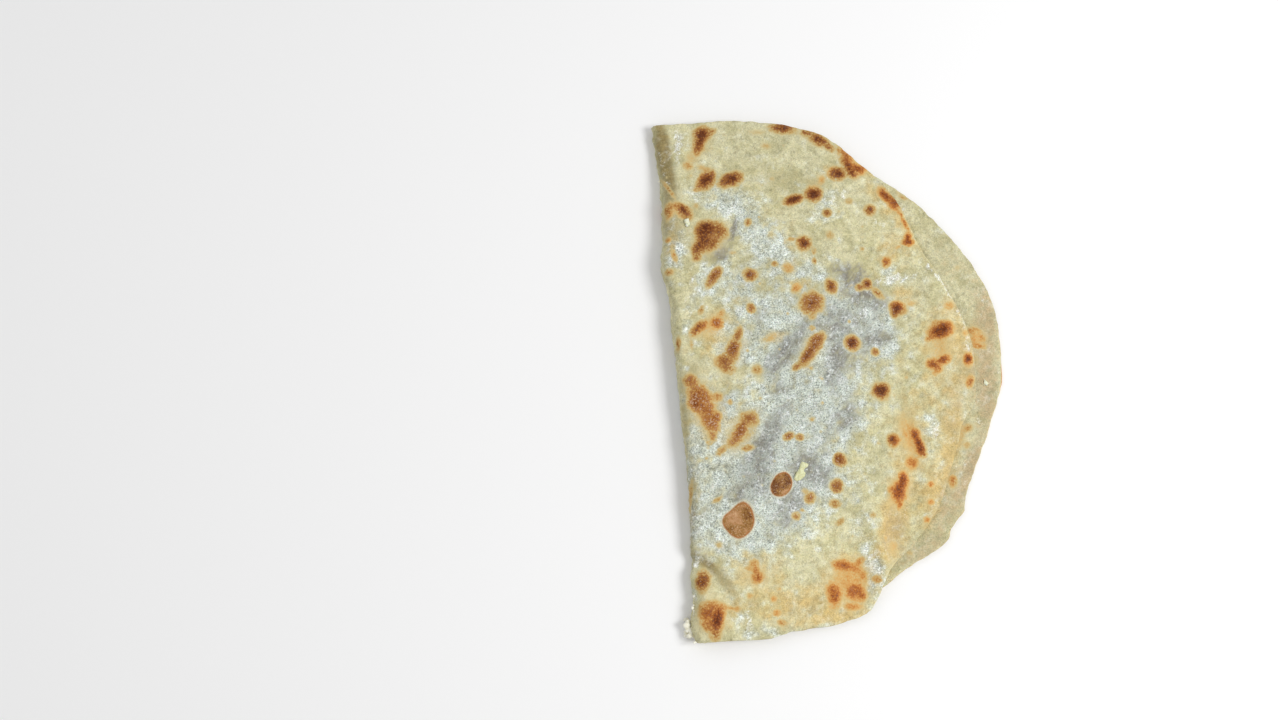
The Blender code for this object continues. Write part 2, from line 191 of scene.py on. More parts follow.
# the same sizes as the solid's, in mm and degrees; edges are seen from above, round the
# middle of the fold, where 0 degrees points straight away from it
sheet = {
    "topEdge": (
        (-90, 105.8), (-76, 109.5), (-69, 111.8), (-61, 117.8), (-55, 120.8), (-47, 115.7),
        (-39, 117.4), (-34, 118.5), (-29, 119.1), (-24, 118.8), (-20, 118.8), (-16, 119.3),
        (-13, 119.9), (-11, 121.7), (-8, 124.6), (-4, 125.1), (1, 125.6), (4, 125.3),
        (9, 124.1), (18, 121.4), (25, 120.2), (33, 124.3), (40, 125.6), (46, 126.1),
        (54, 127.9), (62, 124.8), (73, 119.4), (82, 116.2), (90, 115.0),
    ),
    "underEdge": (
        (-75, 107.0), (-62, 113.0), (-54, 117.2), (-46, 119.6), (-41, 122.7), (-38, 125.6),
        (-35, 128.0), (-33, 127.6), (-31, 128.5), (-29, 130.0), (-27, 128.7), (-24, 128.2),
        (-19, 129.2), (-15, 130.9), (-11, 132.3), (-5, 137.3), (2, 138.9), (10, 140.1),
        (18, 137.2), (26, 133.4), (33, 131.6), (41, 127.1), (50, 123.4), (60, 122.2),
        (74, 116.8),
    ),
    "ragged": 1.1,  # how far the edge wanders in and out
    "raggedPerTurn": 5.5,
    "raggedSeed": 0.37,
    "dough": 2.4,  # thickness
    "doughEdge": 1.5,
    "thinnedFrom": 0.80,  # share of the reach where the dough starts to thin
    "foldDepth": 4.2,  # how far the bend comes over, seen from above
    "foldAlong": 7.0,  # the stretch that bends, each side of the fold line
    "foldEase": 25.0,  # past this distance from the fold the sheet lies as measured
    "foldSpring": 1.4,  # how far the dough holds the fold open by itself
    "springReach": 14.0,
    # where the fold line bulges out (+) or dips in (-): place along it, spread, how far
    "foldBulges": (
        (86, 20, -1.5), (51, 8, 1.5), (32, 7, -1.0), (6, 16, -1.0), (-34, 24, -1.5),
        (-81, 6, 1.4), (-99, 8, 3.0),
    ),
    "lipGap": 0.7,  # between the flaps where nothing lies between them
    "rimFrom": 0.80,  # share of the reach where a flap leaves what it lies on
    "rimDone": 1.03,  # and where it has left it as far as it will
    "underLift": 2.8,
    "underSeed": 0.7,
    "topGape": 2.0,
    "gapeSeed": 2.9,
    "wavesPerTurn": 1.9,
    "waveMiddle": 0.45,
    "waveReach": 0.9,
    # creases of the top flap: points, half width, height (a valley is minus)
    "creases": (
        (((0.0, -72.5), (7.5, -76.5), (13.2, -84.5), (16.6, -91.5)), 4.2, -1.8),
        (((4.0, -88.0), (8.0, -98.0)), 6.5, 1.6),
        (((72.5, -56.0), (75.6, -72.0), (77.8, -86.2)), 6.2, 2.1),
        (((89.0, -26.0), (88.5, -72.0)), 7.5, -1.2),
        (((100.0, -20.0), (97.5, -56.0)), 6.5, 1.0),
        (((102.0, 54.0), (112.0, 34.0), (117.5, 10.0)), 6.0, 1.3),
        (((11.0, 100.0), (6.0, 76.0)), 6.0, 1.4),
    ),
    # the finer surface, which only this mesh has
    "spacing": 1.18,
    "bendCloser": 1.35,  # how many times closer its rows lie where it bends
    "fray": 0.42,  # small raggedness of the edge
    "frayNoises": ((3.2, 5.5, 1.0), (3.2 / 2.3, 8.5, 0.6)),  # size, seed, share
    "torn": (0.35, 0.75, 0.9),  # from, to, how deep
    "lip": ((0.32, 0.10), (0.52, 0.34), (0.52, 0.66), (0.32, 0.90)),  # out, share of thickness
    "lumps": ((10.0, 0.28), (5.0, 0.20), (2.8, 0.13)),  # size, height
    "blister": 0.28,  # mm that browned dough stands up
    "blisterFrom": (0.25, 0.75),  # how brown it is where that starts and is done
    "flatBlisterFrom": (0.15, 0.4),  # the same for the two flat blisters
    "foldRough": (1.9, 0.62, 7.7),  # size, height, seed
    "innerShare": 0.5,  # how much of the lumps the inner side has
    "wrinklesAt": 8.5,  # mm above the floor, about where they lie
    # small wrinkles of the top flap, by the photo's pixels: line, half width, height
    "wrinkles": (
        (((737, 214), (733, 232), (731, 246)), 0.9, -0.35),
        (((722, 247), (727, 258)), 1.0, -0.35),
        (((703, 508), (716, 500), (727, 497)), 0.8, -0.30),
        (((707, 520), (719, 511)), 0.8, -0.25),
        (((720, 440), (736, 419), (747, 402)), 0.9, -0.25),
        (((800, 258), (815, 266), (826, 277)), 1.2, 0.35),
        (((885, 262), (868, 272), (852, 270)), 1.1, 0.30),
        (((694, 551), (713, 562), (729, 577), (741, 596)), 3.0, 0.7),
        (((691, 560), (704, 568), (717, 580), (727, 597)), 2.8, -0.45),
        (((873, 527), (880, 545), (888, 570)), 1.5, 0.45),
        (((955, 466), (947, 500), (930, 523), (912, 543)), 1.2, -0.35),
        (((962, 440), (957, 470), (948, 502)), 1.4, 0.30),
        (((924, 258), (952, 300), (962, 320), (973, 375)), 1.2, 0.55),
    ),
}
beans = {
    "edge": (
        (-90, 70), (-65, 77), (-40, 79), (-15, 83), (5, 92), (20, 98), (35, 93), (50, 85),
        (70, 87), (90, 84),
    ),
    "thick": 4.0,
    "lump": 1.1,
    "lumpSize": 30.0,
    "lumpSeed": 0.37,
    "shoulder": 0.55,  # share of their reach where the beans start to thin out
    "flapDown": 1.2,  # and where the top flap has come down
    "clear": 0.45,  # free space over and under them
    "thinnest": 0.3,
    "spacing": 1.6,
    "mash": ((6.0, 0.30), (2.6, 0.16)),  # size and height of the lumps of its surface
    "mashSeed": 3.3,
    "mashUpTo": 0.1,
}
angleStep = 0.25
turnAngles = np.arange(0, 360, angleStep)


def smooth(low, high, value):
    t = np.clip((value - low) / (high - low), 0, 1)
    return t * t * (3 - 2 * t)


def throughKnots(knots, angle):
    # a smooth curve through (degrees, reach) knots that go once round
    after = next((i for i, knot in enumerate(knots) if knot[0] % 360 > angle % 360), 0)
    near = []
    for step in (-2, -1, 0, 1):
        degrees, reach = knots[(after + step) % len(knots)]
        near.append(((degrees - angle + 180) % 360 - 180, reach))
    (a0, r0), (a1, r1), (a2, r2), (a3, r3) = near
    span = a2 - a1
    slopes = (r2 - r0) / (a2 - a0) * span, (r3 - r1) / (a3 - a1) * span
    t = -a1 / span
    ahead = 3 * t**2 - 2 * t**3
    return (
        (1 - ahead) * r1 + ahead * r2
        + (t**3 - 2 * t**2 + t) * slopes[0] + (t**3 - t**2) * slopes[1]
    )


def roundTable(nearSide, farSide):
    # the knots of both flaps, the far one's mirrored, as a reach for each angle
    mirrored = [(180 - degrees, reach) for degrees, reach in farSide]
    knots = sorted((degrees % 360, reach) for degrees, reach in list(nearSide) + mirrored)
    return np.array([throughKnots(knots, angle) for angle in turnAngles])


def turnNoise(seed, perTurn):
    spots = [(math.cos(math.radians(a)), math.sin(math.radians(a)), seed) for a in turnAngles]
    return np.array([noise.noise(Vector(spot) * perTurn) for spot in spots])


def atAngle(table, angle):
    return np.interp(angle % 360, turnAngles, table, period=360)


def field(x, y, size, seed):
    return np.array([noise.noise(Vector((a, b, seed))) for a, b in zip(x / size, y / size)])


sheetReach = roundTable(sheet["topEdge"], sheet["underEdge"])
sheetReach += sheet["ragged"] * turnNoise(sheet["raggedSeed"], sheet["raggedPerTurn"])
beanReach = roundTable(beans["edge"], beans["edge"][1:-1])


def rimWave(seed):
    noises = turnNoise(seed, sheet["wavesPerTurn"])
    return np.clip(sheet["waveMiddle"] + sheet["waveReach"] * noises, 0, 1)


underWave, gapeWave = rimWave(sheet["underSeed"]), rimWave(sheet["gapeSeed"])


def shareOut(x, y, table):
    angle = np.degrees(np.arctan2(y, x))
    return np.hypot(x, y) / atAngle(table, angle), angle


def bell(away, spread):
    return np.exp(-((away / spread) ** 2))


def foldLine(y):
    return -sum(out * bell(y - at, spread) for at, spread, out in sheet["foldBulges"])


def runDistance(x, y, run):
    nearest = np.full(np.shape(x), np.inf)
    for (ax, ay), (bx, by) in zip(run, run[1:]):
        dx, dy = bx - ax, by - ay
        t = np.clip(((x - ax) * dx + (y - ay) * dy) / (dx * dx + dy * dy), 0, 1)
        nearest = np.minimum(nearest, np.hypot(x - ax - t * dx, y - ay - t * dy))
    return nearest


def underBottom(x, y):
    share, angle = shareOut(-x, y, sheetReach)
    return (
        sheet["underLift"] * smooth(sheet["rimFrom"], sheet["rimDone"], share)
        * atAngle(underWave, angle)
    )


def thickness(share):
    thinned = smooth(sheet["thinnedFrom"], 1.0, share)
    return sheet["dough"] + (sheet["doughEdge"] - sheet["dough"]) * thinned


def underTop(x, y):
    return underBottom(x, y) + thickness(shareOut(-x, y, sheetReach)[0])


def flapGap(x, y):
    share, angle = shareOut(x, y, sheetReach)
    rim = smooth(sheet["rimFrom"], sheet["rimDone"], share)
    gape = sheet["topGape"] * rim * atAngle(gapeWave, angle)
    spring = sheet["foldSpring"] * np.exp(-np.maximum(x, 0) / sheet["springReach"])
    pat = beans["thick"] + beans["lump"] * field(x, y, beans["lumpSize"], beans["lumpSeed"])
    pat = pat * (1 - smooth(beans["shoulder"], beans["flapDown"], shareOut(x, y, beanReach)[0]))
    return sheet["lipGap"] + pat + spring + gape


def topBottom(x, y):
    gap = flapGap(x, y)
    dip = sum(rise * bell(runDistance(x, y, run), wide) for run, wide, rise in sheet["creases"])
    return underTop(x, y) + np.maximum(gap + dip, np.minimum(gap, sheet["lipGap"]))


def topTop(x, y):
    return topBottom(x, y) + thickness(shareOut(x, y, sheetReach)[0])


def folded(across, y, outside):
    # places of the unrolled sheet, once it is folded
    away = np.abs(across)
    bend = np.minimum(1, away / sheet["foldAlong"]) * math.pi / 2
    inset = 0.0 if outside else sheet["dough"]
    ease = (away - sheet["foldAlong"]) / (sheet["foldEase"] - sheet["foldAlong"])
    eased = sheet["foldDepth"] + ease * (sheet["foldEase"] - sheet["foldDepth"])
    curled = inset + (sheet["foldDepth"] - inset) * (1 - np.cos(bend))
    x = np.where(away < sheet["foldAlong"], curled, np.where(ease > 1, away, eased))
    edge = np.full(np.shape(y), sheet["foldDepth"])
    middle = underTop(edge, y) + flapGap(edge, y) / 2
    faces = (topTop, underBottom) if outside else (topBottom, underTop)
    face = np.where(across >= 0, faces[0](x, y), faces[1](x, y))
    z = middle + (face - middle) * np.sin(bend)
    shifted = x + foldLine(y) * np.maximum(0, 1 - x / sheet["foldEase"])
    return np.stack([shifted, y, z], axis=1)


def roundPlaces(table):
    turn = np.radians(turnAngles)
    return np.stack([table * np.cos(turn), table * np.sin(turn)], axis=1)


foldSteps = 400  # places along the fold, to find how far it bulges out
# where the middle of the fold lies in the frame that the solids are in, in mm
low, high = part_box("tortilla")
edgeYs = roundPlaces(sheetReach)[:, 1]
foldMiddle = Vector((
    low.x / mm - foldLine(np.linspace(edgeYs.min(), edgeYs.max(), foldSteps)).min(),
    (low.y + high.y) / 2 / mm - (edgeYs.max() + edgeYs.min()) / 2,
    0,
))
print("fold's middle at", tuple(round(c, 2) for c in foldMiddle), "mm")


def widen(across, closer):
    near = np.minimum(np.abs(across), sheet["foldAlong"])
    return np.copysign(near * closer + np.abs(across) - near, across)


def narrow(wide, closer):
    near = np.minimum(np.abs(wide), sheet["foldAlong"] * closer)
    return np.copysign(near / closer + np.abs(wide) - near, wide)


def walked(line, step):
    # points about a step apart along a closed line
    closed = np.vstack([line, line[:1]])
    done = np.concatenate([[0], np.cumsum(np.hypot(*np.diff(closed, axis=0).T))])
    stops = np.arange(round(done[-1] / step)) * done[-1] / round(done[-1] / step)
    return np.stack([np.interp(stops, done, closed[:, k]) for k in (0, 1)], axis=1)


edgeClear = 0.6  # how far the net's inner points stay from its edge, in spacings


def net(edge, depthInside, spacing, closer):
    # places spread evenly inside a closed edge, joined up as triangles, those on the edge first
    rim = walked(np.stack([widen(edge[:, 0], closer), edge[:, 1]], axis=1), spacing)
    rows = spacing * math.sqrt(3) / 2
    inside = []
    for row in range(math.ceil(rim[:, 0].min() / rows), math.floor(rim[:, 0].max() / rows) + 1):
        y = np.arange(rim[:, 1].min(), rim[:, 1].max(), spacing) + row % 2 * spacing / 2
        x = np.full(len(y), row * rows)
        kept = depthInside(narrow(x, closer), y) > edgeClear * spacing
        inside.append(np.stack([x[kept], y[kept]], axis=1))
    spots = [Vector(spot) for spot in np.vstack([rim, *inside]).tolist()]
    places, _, triangles, *_ = delaunay_2d_cdt(spots, [], [list(range(len(rim)))], 1, 1e-5)
    flat = np.array([tuple(place) for place in places])
    return narrow(flat[:, 0], closer), flat[:, 1], [tuple(t) for t in triangles], len(rim)


def ringFaces(here, there, count):
    # faces between two closed rows of points that start at these numbers
    after = [(k + 1) % count for k in range(count)]
    return [(here + a, here + k, there + k, there + a) for k, a in enumerate(after)]


def closedForm(top, bottom, triangles, rim, rings=()):
    # two sides of the same net, joined round its edge by rows of points
    count = len(top)
    faces = triangles + [(count + c, count + b, count + a) for a, b, c in triangles]
    starts = [0, *(2 * count + k * rim for k in range(len(rings))), count]
    for here, there in zip(starts, starts[1:]):
        faces += ringFaces(here, there, rim)
    return np.vstack([top, bottom, *rings]), faces


def inScene(name, data):
    made = bpy.data.objects.new(name, data)
    bpy.context.scene.collection.objects.link(made)
    return made


def meshPiece(name, points, faces, material, numbers=None):
    mesh = bpy.data.meshes.new(name)
    mesh.from_pydata((points + np.array(foldMiddle)) * mm, [], faces)
    for key, values in (numbers or {}).items():
        mesh.attributes.new(key, "FLOAT", "POINT").data.foreach_set("value", values)
    mesh.shade_smooth()
    mesh.materials.append(material)
    piece = inScene(name, mesh)
    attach(piece, "root")
    print(f"{name}: {len(mesh.polygons)} faces")
    return piece


# where the griddle browned the top flap, by the photo's pixels:
# x, y, width, height, degrees turned, how dark and how soft its edge in percent
toast = {
    "dark": (
        (702, 134, 22, 18, 30, 98, 55), (699, 145, 26, 13, 76, 92, 60),
        (701, 139, 20, 15, 60, 90, 60), (712, 131, 12, 7, 20, 50, 80),
        (706, 180, 27, 17, 58, 102, 60), (698, 188, 14, 7, 30, 52, 80),
        (707, 171, 7, 9, 0, 50, 80), (731, 180, 29, 16, 22, 100, 60),
        (783, 129, 29, 13, -8, 90, 70), (807, 133, 17, 7, -12, 72, 80),
        (819, 140, 26, 12, -32, 92, 70), (829, 147, 14, 8, -40, 70, 80),
        (848, 165, 28, 13, -54, 84, 60), (852, 172, 18, 11, -50, 96, 80),
        (858, 169, 20, 11, -30, 82, 70), (846, 155, 28, 9, -46, 66, 70),
        (837, 174, 20, 16, 0, 95, 65), (813, 194, 19, 18, 30, 105, 60),
        (793, 200, 22, 12, 18, 100, 60), (885, 195, 24, 12, -50, 86, 70),
        (893, 203, 21, 12, -56, 84, 70), (870, 210, 12, 13, 0, 84, 80),
        (827, 213, 10, 10, 10, 84, 80), (908, 237, 8, 11, 0, 84, 70), (908, 242, 14, 9, 0, 86, 60),
        (898, 247, 11, 5, 20, 26, 90), (804, 243, 16, 17, -30, 92, 70),
        (886, 262, 10, 13, -30, 70, 80), (706, 230, 26, 22, 30, 98, 50),
        (700, 246, 27, 16, 58, 92, 55), (704, 239, 26, 18, 62, 92, 60),
        (716, 232, 27, 24, -10, 68, 50), (710, 243, 24, 17, 45, 70, 60),
        (697, 257, 15, 11, 60, 62, 80), (683, 211, 24, 14, -36, 88, 70),
        (669, 211, 22, 11, 80, 54, 80), (714, 277, 27, 11, 58, 84, 60),
        (750, 275, 16, 13, -10, 92, 70), (867, 284, 10, 12, 0, 100, 70),
        (860, 287, 11, 8, 20, 74, 80), (897, 308, 18, 15, -15, 100, 65),
        (895, 312, 11, 14, 0, 82, 70), (831, 286, 14, 17, 5, 88, 60),
        (812, 303, 27, 25, 75, 78, 55), (812, 303, 12, 12, 0, 100, 80),
        (808, 357, 10, 7, 50, 100, 80), (812, 316, 9, 9, 0, 46, 90),
        (699, 328, 26, 11, 42, 74, 70), (717, 323, 15, 14, 40, 74, 70),
        (721, 314, 13, 7, 60, 44, 90), (738, 335, 19, 9, 68, 64, 70),
        (733, 350, 28, 14, 72, 82, 60), (725, 361, 22, 16, 20, 76, 60),
        (728, 369, 18, 12, 0, 60, 80), (816, 343, 27, 15, 52, 78, 50),
        (812, 349, 26, 13, 55, 80, 60), (808, 355, 27, 12, 56, 88, 60),
        (798, 366, 14, 7, 35, 60, 80), (852, 343, 17, 15, -20, 110, 60),
        (941, 330, 28, 19, 18, 92, 60), (945, 329, 17, 12, 20, 100, 70),
        (931, 337, 14, 9, 30, 62, 80), (943, 360, 19, 11, 22, 86, 70),
        (933, 364, 13, 14, 60, 82, 70), (938, 368, 14, 10, 50, 60, 80),
        (968, 359, 11, 15, 0, 92, 70), (691, 381, 18, 15, -20, 68, 60),
        (699, 396, 30, 24, -50, 76, 55), (696, 404, 20, 18, 0, 80, 60),
        (710, 420, 31, 18, -62, 70, 50), (705, 408, 26, 20, -60, 72, 50),
        (717, 418, 10, 17, 0, 68, 70), (712, 435, 15, 9, -80, 54, 80),
        (749, 419, 19, 16, 30, 66, 70), (741, 430, 30, 12, 58, 76, 55),
        (735, 441, 19, 10, 30, 64, 70), (881, 391, 19, 19, 0, 108, 60),
        (789, 436, 12, 7, 30, 88, 80), (840, 460, 14, 14, 0, 80, 40),
        (837, 486, 13, 14, 0, 80, 60), (915, 434, 16, 11, -76, 88, 70),
        (921, 448, 23, 10, -72, 91, 60), (918, 441, 26, 8, -72, 86, 60),
        (903, 480, 20, 12, 80, 86, 60), (899, 493, 23, 15, 85, 86, 60),
        (901, 487, 20, 11, 84, 84, 60), (900, 504, 13, 6, 75, 62, 80),
        (892, 490, 10, 9, 0, 54, 80), (893, 440, 13, 14, 0, 90, 70),
        (703, 581, 24, 16, 84, 88, 65), (712, 612, 29, 25, 20, 64, 50),
        (717, 620, 34, 14, 80, 96, 60), (704, 613, 20, 11, -80, 72, 70),
        (715, 636, 12, 12, 0, 52, 80), (722, 607, 12, 9, 0, 54, 80),
        (708, 625, 20, 13, -60, 56, 70), (758, 577, 13, 14, -40, 72, 70),
        (756, 571, 8, 14, 20, 58, 80), (750, 568, 12, 6, 0, 34, 90),
        (844, 566, 27, 13, -8, 70, 70), (854, 569, 18, 13, -20, 52, 90),
        (859, 562, 16, 9, 40, 50, 90), (863, 576, 9, 20, 10, 44, 90),
        (834, 592, 17, 21, 0, 62, 60), (834, 598, 13, 17, 0, 72, 70),
        (855, 592, 24, 20, -10, 68, 60), (862, 595, 12, 11, 0, 60, 80),
    ),
    "faint": (
        (688, 166, 12, 12, 0, 40, 90), (691, 158, 26, 14, 70, 20, 100),
        (702, 168, 16, 9, -30, 28, 100), (757, 132, 30, 9, 0, 18, 100),
        (900, 213, 17, 4, -58, 52, 80), (905, 223, 24, 5, -70, 76, 80),
        (814, 251, 5, 9, 0, 48, 90), (814, 261, 5, 9, 0, 50, 90), (791, 239, 9, 5, 10, 42, 90),
        (830, 235, 10, 12, 0, 38, 100), (849, 201, 11, 9, 0, 34, 100),
        (676, 206, 12, 8, -20, 50, 90), (668, 240, 8, 7, 0, 46, 90),
        (674, 256, 18, 6, -74, 46, 80), (669, 272, 10, 8, 0, 50, 80),
        (748, 222, 7, 10, -20, 56, 80), (775, 264, 8, 7, 0, 52, 80), (788, 268, 14, 13, 0, 38, 90),
        (877, 293, 21, 8, -42, 48, 90), (904, 311, 9, 7, 0, 46, 90),
        (911, 304, 12, 7, 10, 28, 100), (796, 288, 13, 10, 50, 54, 80),
        (751, 308, 9, 11, 20, 70, 70), (701, 310, 13, 6, 65, 46, 90),
        (692, 344, 17, 4, -85, 34, 90), (812, 328, 7, 6, 0, 44, 90), (811, 368, 7, 5, 0, 30, 90),
        (875, 352, 9, 9, 0, 66, 80), (935, 373, 7, 7, 0, 44, 90), (935, 322, 7, 6, 0, 42, 90),
        (970, 382, 15, 9, 80, 66, 80), (757, 370, 13, 13, 0, 38, 90),
        (770, 337, 22, 13, 20, 26, 100), (949, 306, 13, 11, 0, 34, 100),
        (965, 333, 9, 9, 0, 30, 100), (766, 146, 14, 10, 0, 26, 100), (772, 179, 8, 6, 0, 24, 100),
        (821, 181, 17, 9, 60, 32, 100), (862, 249, 6, 6, 0, 34, 90), (733, 253, 11, 5, 0, 26, 100),
        (696, 206, 8, 10, 0, 26, 100), (717, 397, 14, 10, 20, 56, 80), (730, 402, 6, 6, 0, 42, 90),
        (709, 443, 6, 6, 0, 38, 90), (748, 448, 14, 7, 10, 52, 80), (722, 450, 17, 7, 42, 50, 80),
        (755, 421, 10, 11, 0, 46, 90), (800, 437, 9, 7, 0, 70, 80), (812, 419, 7, 5, 15, 34, 90),
        (810, 498, 11, 12, -30, 80, 80), (805, 491, 8, 7, 0, 30, 100), (796, 516, 9, 8, 0, 66, 80),
        (835, 504, 13, 10, 5, 42, 60), (840, 522, 13, 7, 38, 44, 80),
        (912, 463, 15, 18, -10, 54, 80), (931, 484, 7, 7, 0, 58, 80), (931, 502, 8, 7, 0, 48, 80),
        (927, 520, 8, 8, 0, 48, 80), (873, 515, 7, 7, 0, 40, 80), (737, 609, 8, 5, 0, 52, 80),
        (730, 608, 14, 5, -8, 36, 90), (754, 564, 11, 12, -60, 46, 90),
        (777, 613, 10, 7, 0, 44, 80), (782, 623, 12, 7, -15, 46, 80), (750, 596, 6, 6, 0, 40, 80),
        (774, 599, 7, 7, 0, 44, 80), (779, 589, 6, 5, 0, 30, 100), (877, 579, 10, 9, 0, 42, 50),
        (852, 607, 22, 9, 0, 46, 90), (834, 607, 14, 8, 0, 34, 100),
        (893, 547, 13, 20, 0, 20, 100), (717, 500, 12, 5, 30, 44, 80),
        (719, 545, 9, 9, 0, 26, 100), (678, 343, 18, 6, 86, 52, 80), (691, 495, 36, 5, 86, 36, 90),
        (906, 378, 4, 4, 0, 40, 80), (669, 190, 34, 4, -58, 46, 90),
        # wide golden air round the larger ones
        (850, 581, 48, 52, 0, 28, 100), (713, 616, 38, 46, 0, 22, 100),
        (848, 160, 44, 20, -43, 26, 100), (815, 138, 50, 18, -30, 24, 100),
        (900, 490, 50, 26, 78, 26, 100), (911, 436, 62, 26, -75, 28, 100),
        (940, 347, 34, 48, 0, 20, 100), (712, 325, 48, 28, 40, 20, 100),
        (732, 352, 56, 28, 70, 22, 100), (703, 406, 76, 42, -62, 22, 100),
        (741, 432, 58, 30, 52, 24, 100), (709, 238, 50, 44, 40, 22, 100),
        (811, 349, 54, 26, 54, 20, 100), (701, 142, 40, 28, 70, 20, 100),
        (758, 576, 34, 30, 0, 18, 100),
    ),
    "under": (
        (971, 331, 10, 9, -40, 52, 90), (976, 329, 14, 5, -20, 40, 90),
        (982, 338, 14, 5, -62, 48, 90), (978, 346, 14, 5, -4, 58, 90),
        (974, 340, 7, 17, 10, 40, 90), (977, 338, 24, 28, 20, 27, 100),
        (984, 347, 6, 6, 0, 42, 90), (974, 360, 14, 24, 0, 20, 100),
        (968, 428, 12, 10, 40, 44, 90), (967, 445, 9, 9, 0, 34, 100),
        (953, 482, 10, 15, 0, 54, 80), (910, 553, 8, 7, 0, 28, 100), (958, 268, 12, 8, 0, 18, 100),
        (903, 197, 22, 6, -35, 32, 90), (962, 436, 40, 12, 74, 20, 100),
    ),
    "wobble": ((5.0, 0.20), (2.0, 0.16)),  # size in mm and how far it bends a spot's outline
    "wobbleSeeds": (4.2, 9.6),
    "looseFrom": 7,  # mm, the size from which a spot's outline bends fully
    "looseSoft": 1.4,  # how much more a soft spot's outline bends
    "fall": 1.6,  # how fast a spot fades from its middle
    "fallPower": 1.8,
}
# spots where the photo shows no single ones: how many, their sizes in mm, how dark
scattering = {
    "freckles": (150, (0.5, 1.4), (0.10, 0.34)),
    "underSide": (62, (2.0, 12.0), (0.4, 0.95)),
    "underFreckles": (150, (0.6, 1.6), (0.12, 0.40)),
    "inside": (46, (0.8, 4.0), (0.12, 0.45)),
    "seed": 11,
    "turned": 88,  # degrees to either side from straight away from the fold
    "out": (0.02, 0.95),  # squares of the shares of the flap's reach, from and to
    "mostlySmall": 2.2,  # the higher, the fewer large ones
    "long": (1.0, 2.2),  # length in widths
    "soft": 0.6,
}
# two flat, evenly browned blisters with a crisp edge: middle by the photo's pixels, degrees
# and pixels from there to the edge, how dark they are (0 to 1), and the patches where they
# are more or less so, in percent
blisters = (
    {
        "at": (738.5, 521.0),
        "dark": 0.46,
        "seared": (
            (748, 514, 20, 16, -60, 22), (742, 526, 20, 26, 30, 10), (731, 533, 18, 12, -30, 12),
            (733, 516, 16, 14, 0, -14), (739, 521, 12, 12, 0, -22), (741, 533, 12, 8, 0, -10),
            (729, 507, 12, 6, 50, 6),
        ),
        "edge": (
            (16, 16.1), (49, 18.3), (74, 19.6), (88, 17.6), (103, 14.8), (130, 12.9),
            (181, 16.0), (222, 14.9), (272, 17.0), (311, 15.6),
        ),
    },
    {
        "at": (781.3, 484.4),
        "dark": 0.58,
        "seared": (
            (773, 485, 8, 20, 14, 26), (789, 479, 8, 18, -10, 28), (781, 493, 14, 6, 20, -10),
            (782, 480, 13, 4, 48, 22), (784, 487, 4, 14, -36, 20), (777, 488, 14, 4, 70, 16),
            (786, 490, 8, 6, 40, -24), (779, 482, 6, 5, 40, -12),
        ),
        "edge": (
            (21, 11.7), (45, 12.7), (69, 13.2), (100, 11.1), (153, 9.4), (197, 11.6),
            (227, 13.1), (257, 12.3), (302, 10.8), (340, 10.6),
        ),
    },
)


firstHeight = 6.0  # mm, a first guess of how high a face is
patchFall = (0.9, 1.3)  # how fast a patch fades from its middle, and its power
blisterReach = 30  # pixels, further than any blister's edge
blisterRim = 0.2  # a flat blister's value at its edge; it is 1 in the middle
noBlister = -99  # mm, a place away from all of them


def turned(dx, dy, degrees):
    # how far along and across a line that is turned this much
    turn = math.radians(degrees)
    return dx * math.cos(turn) + dy * math.sin(turn), dy * math.cos(turn) - dx * math.sin(turn)


def softPatch(x, y, spot):
    # 1 in the middle of a patch, fading to 0 round it
    px, py, wide, tall, degrees, _ = spot
    along, aside = turned(x - px, y - py, degrees)
    away = (along / (wide / 2)) ** 2 + (aside / (tall / 2)) ** 2
    fall, power = patchFall
    return np.exp(-(away ** power) * fall)


def blisterValue(x, y):
    # 1 at a blister's middle, falling to its edge and 0 just outside; and how dark it is there
    found, seared = np.zeros(len(x)), np.zeros(len(x))
    for blister in blisters:
        (px, py), = fromPhoto([blister["at"]])
        dx, dy = (x - px) / photoScale(), (y - py) / photoScale()
        away = np.hypot(dx, dy)
        near = np.flatnonzero(away < blisterReach)
        turns = np.degrees(np.arctan2(dy, dx))[near] - camera["azimuth"]
        share = away[near] / [throughKnots(blister["edge"], turn) for turn in turns]
        found[near] = np.maximum(found[near], 1 - (1 - blisterRim) * share)
        seared[near] = blister["dark"]
        for spot in fromPhoto(blister["seared"]):
            seared[near] += spot[-1] * softPatch(x[near], y[near], spot)
    return found, seared


def spotValue(x, y, spots):
    # the strongest of the spots at each place, from 0 to 1
    found = np.zeros(len(x))
    bends = [
        sum(share * field(x, y, size, seed) for size, share in toast["wobble"])
        for seed in toast["wobbleSeeds"]
    ]
    for px, py, wide, tall, degrees, dark, soft in spots:
        reach = max(wide, tall)
        near = (np.abs(x - px) < reach) & (np.abs(y - py) < reach)
        along, aside = turned(x[near] - px, y[near] - py, degrees)
        loose = min(1.0, reach / toast["looseFrom"]) * min(1.0, soft * toast["looseSoft"])
        along = along / (wide / 2) + bends[0][near] * loose
        aside = aside / (tall / 2) + bends[1][near] * loose
        away = np.hypot(along, aside)
        value = dark * np.exp(-toast["fall"] * away ** (toast["fallPower"] / soft))
        found[near] = np.maximum(found[near], value)
    return found


def fromPhoto(spots, face=topTop):
    # the same spots in mm on the top flap or another face, with shares in place of percents
    placed = []
    for px, py, *rest in spots:
        x, y = photoPlace(px, py, firstHeight)
        x, y = photoPlace(px, py, float(face(np.array([x]), np.array([y]))[0]))
        if rest:
            wide, tall, degrees, *percents = rest
            rest = [wide * photoScale(), tall * photoScale(), degrees + camera["azimuth"]]
            rest += [percent / 100 for percent in percents]
        placed.append((x, y, *rest))
    return placed


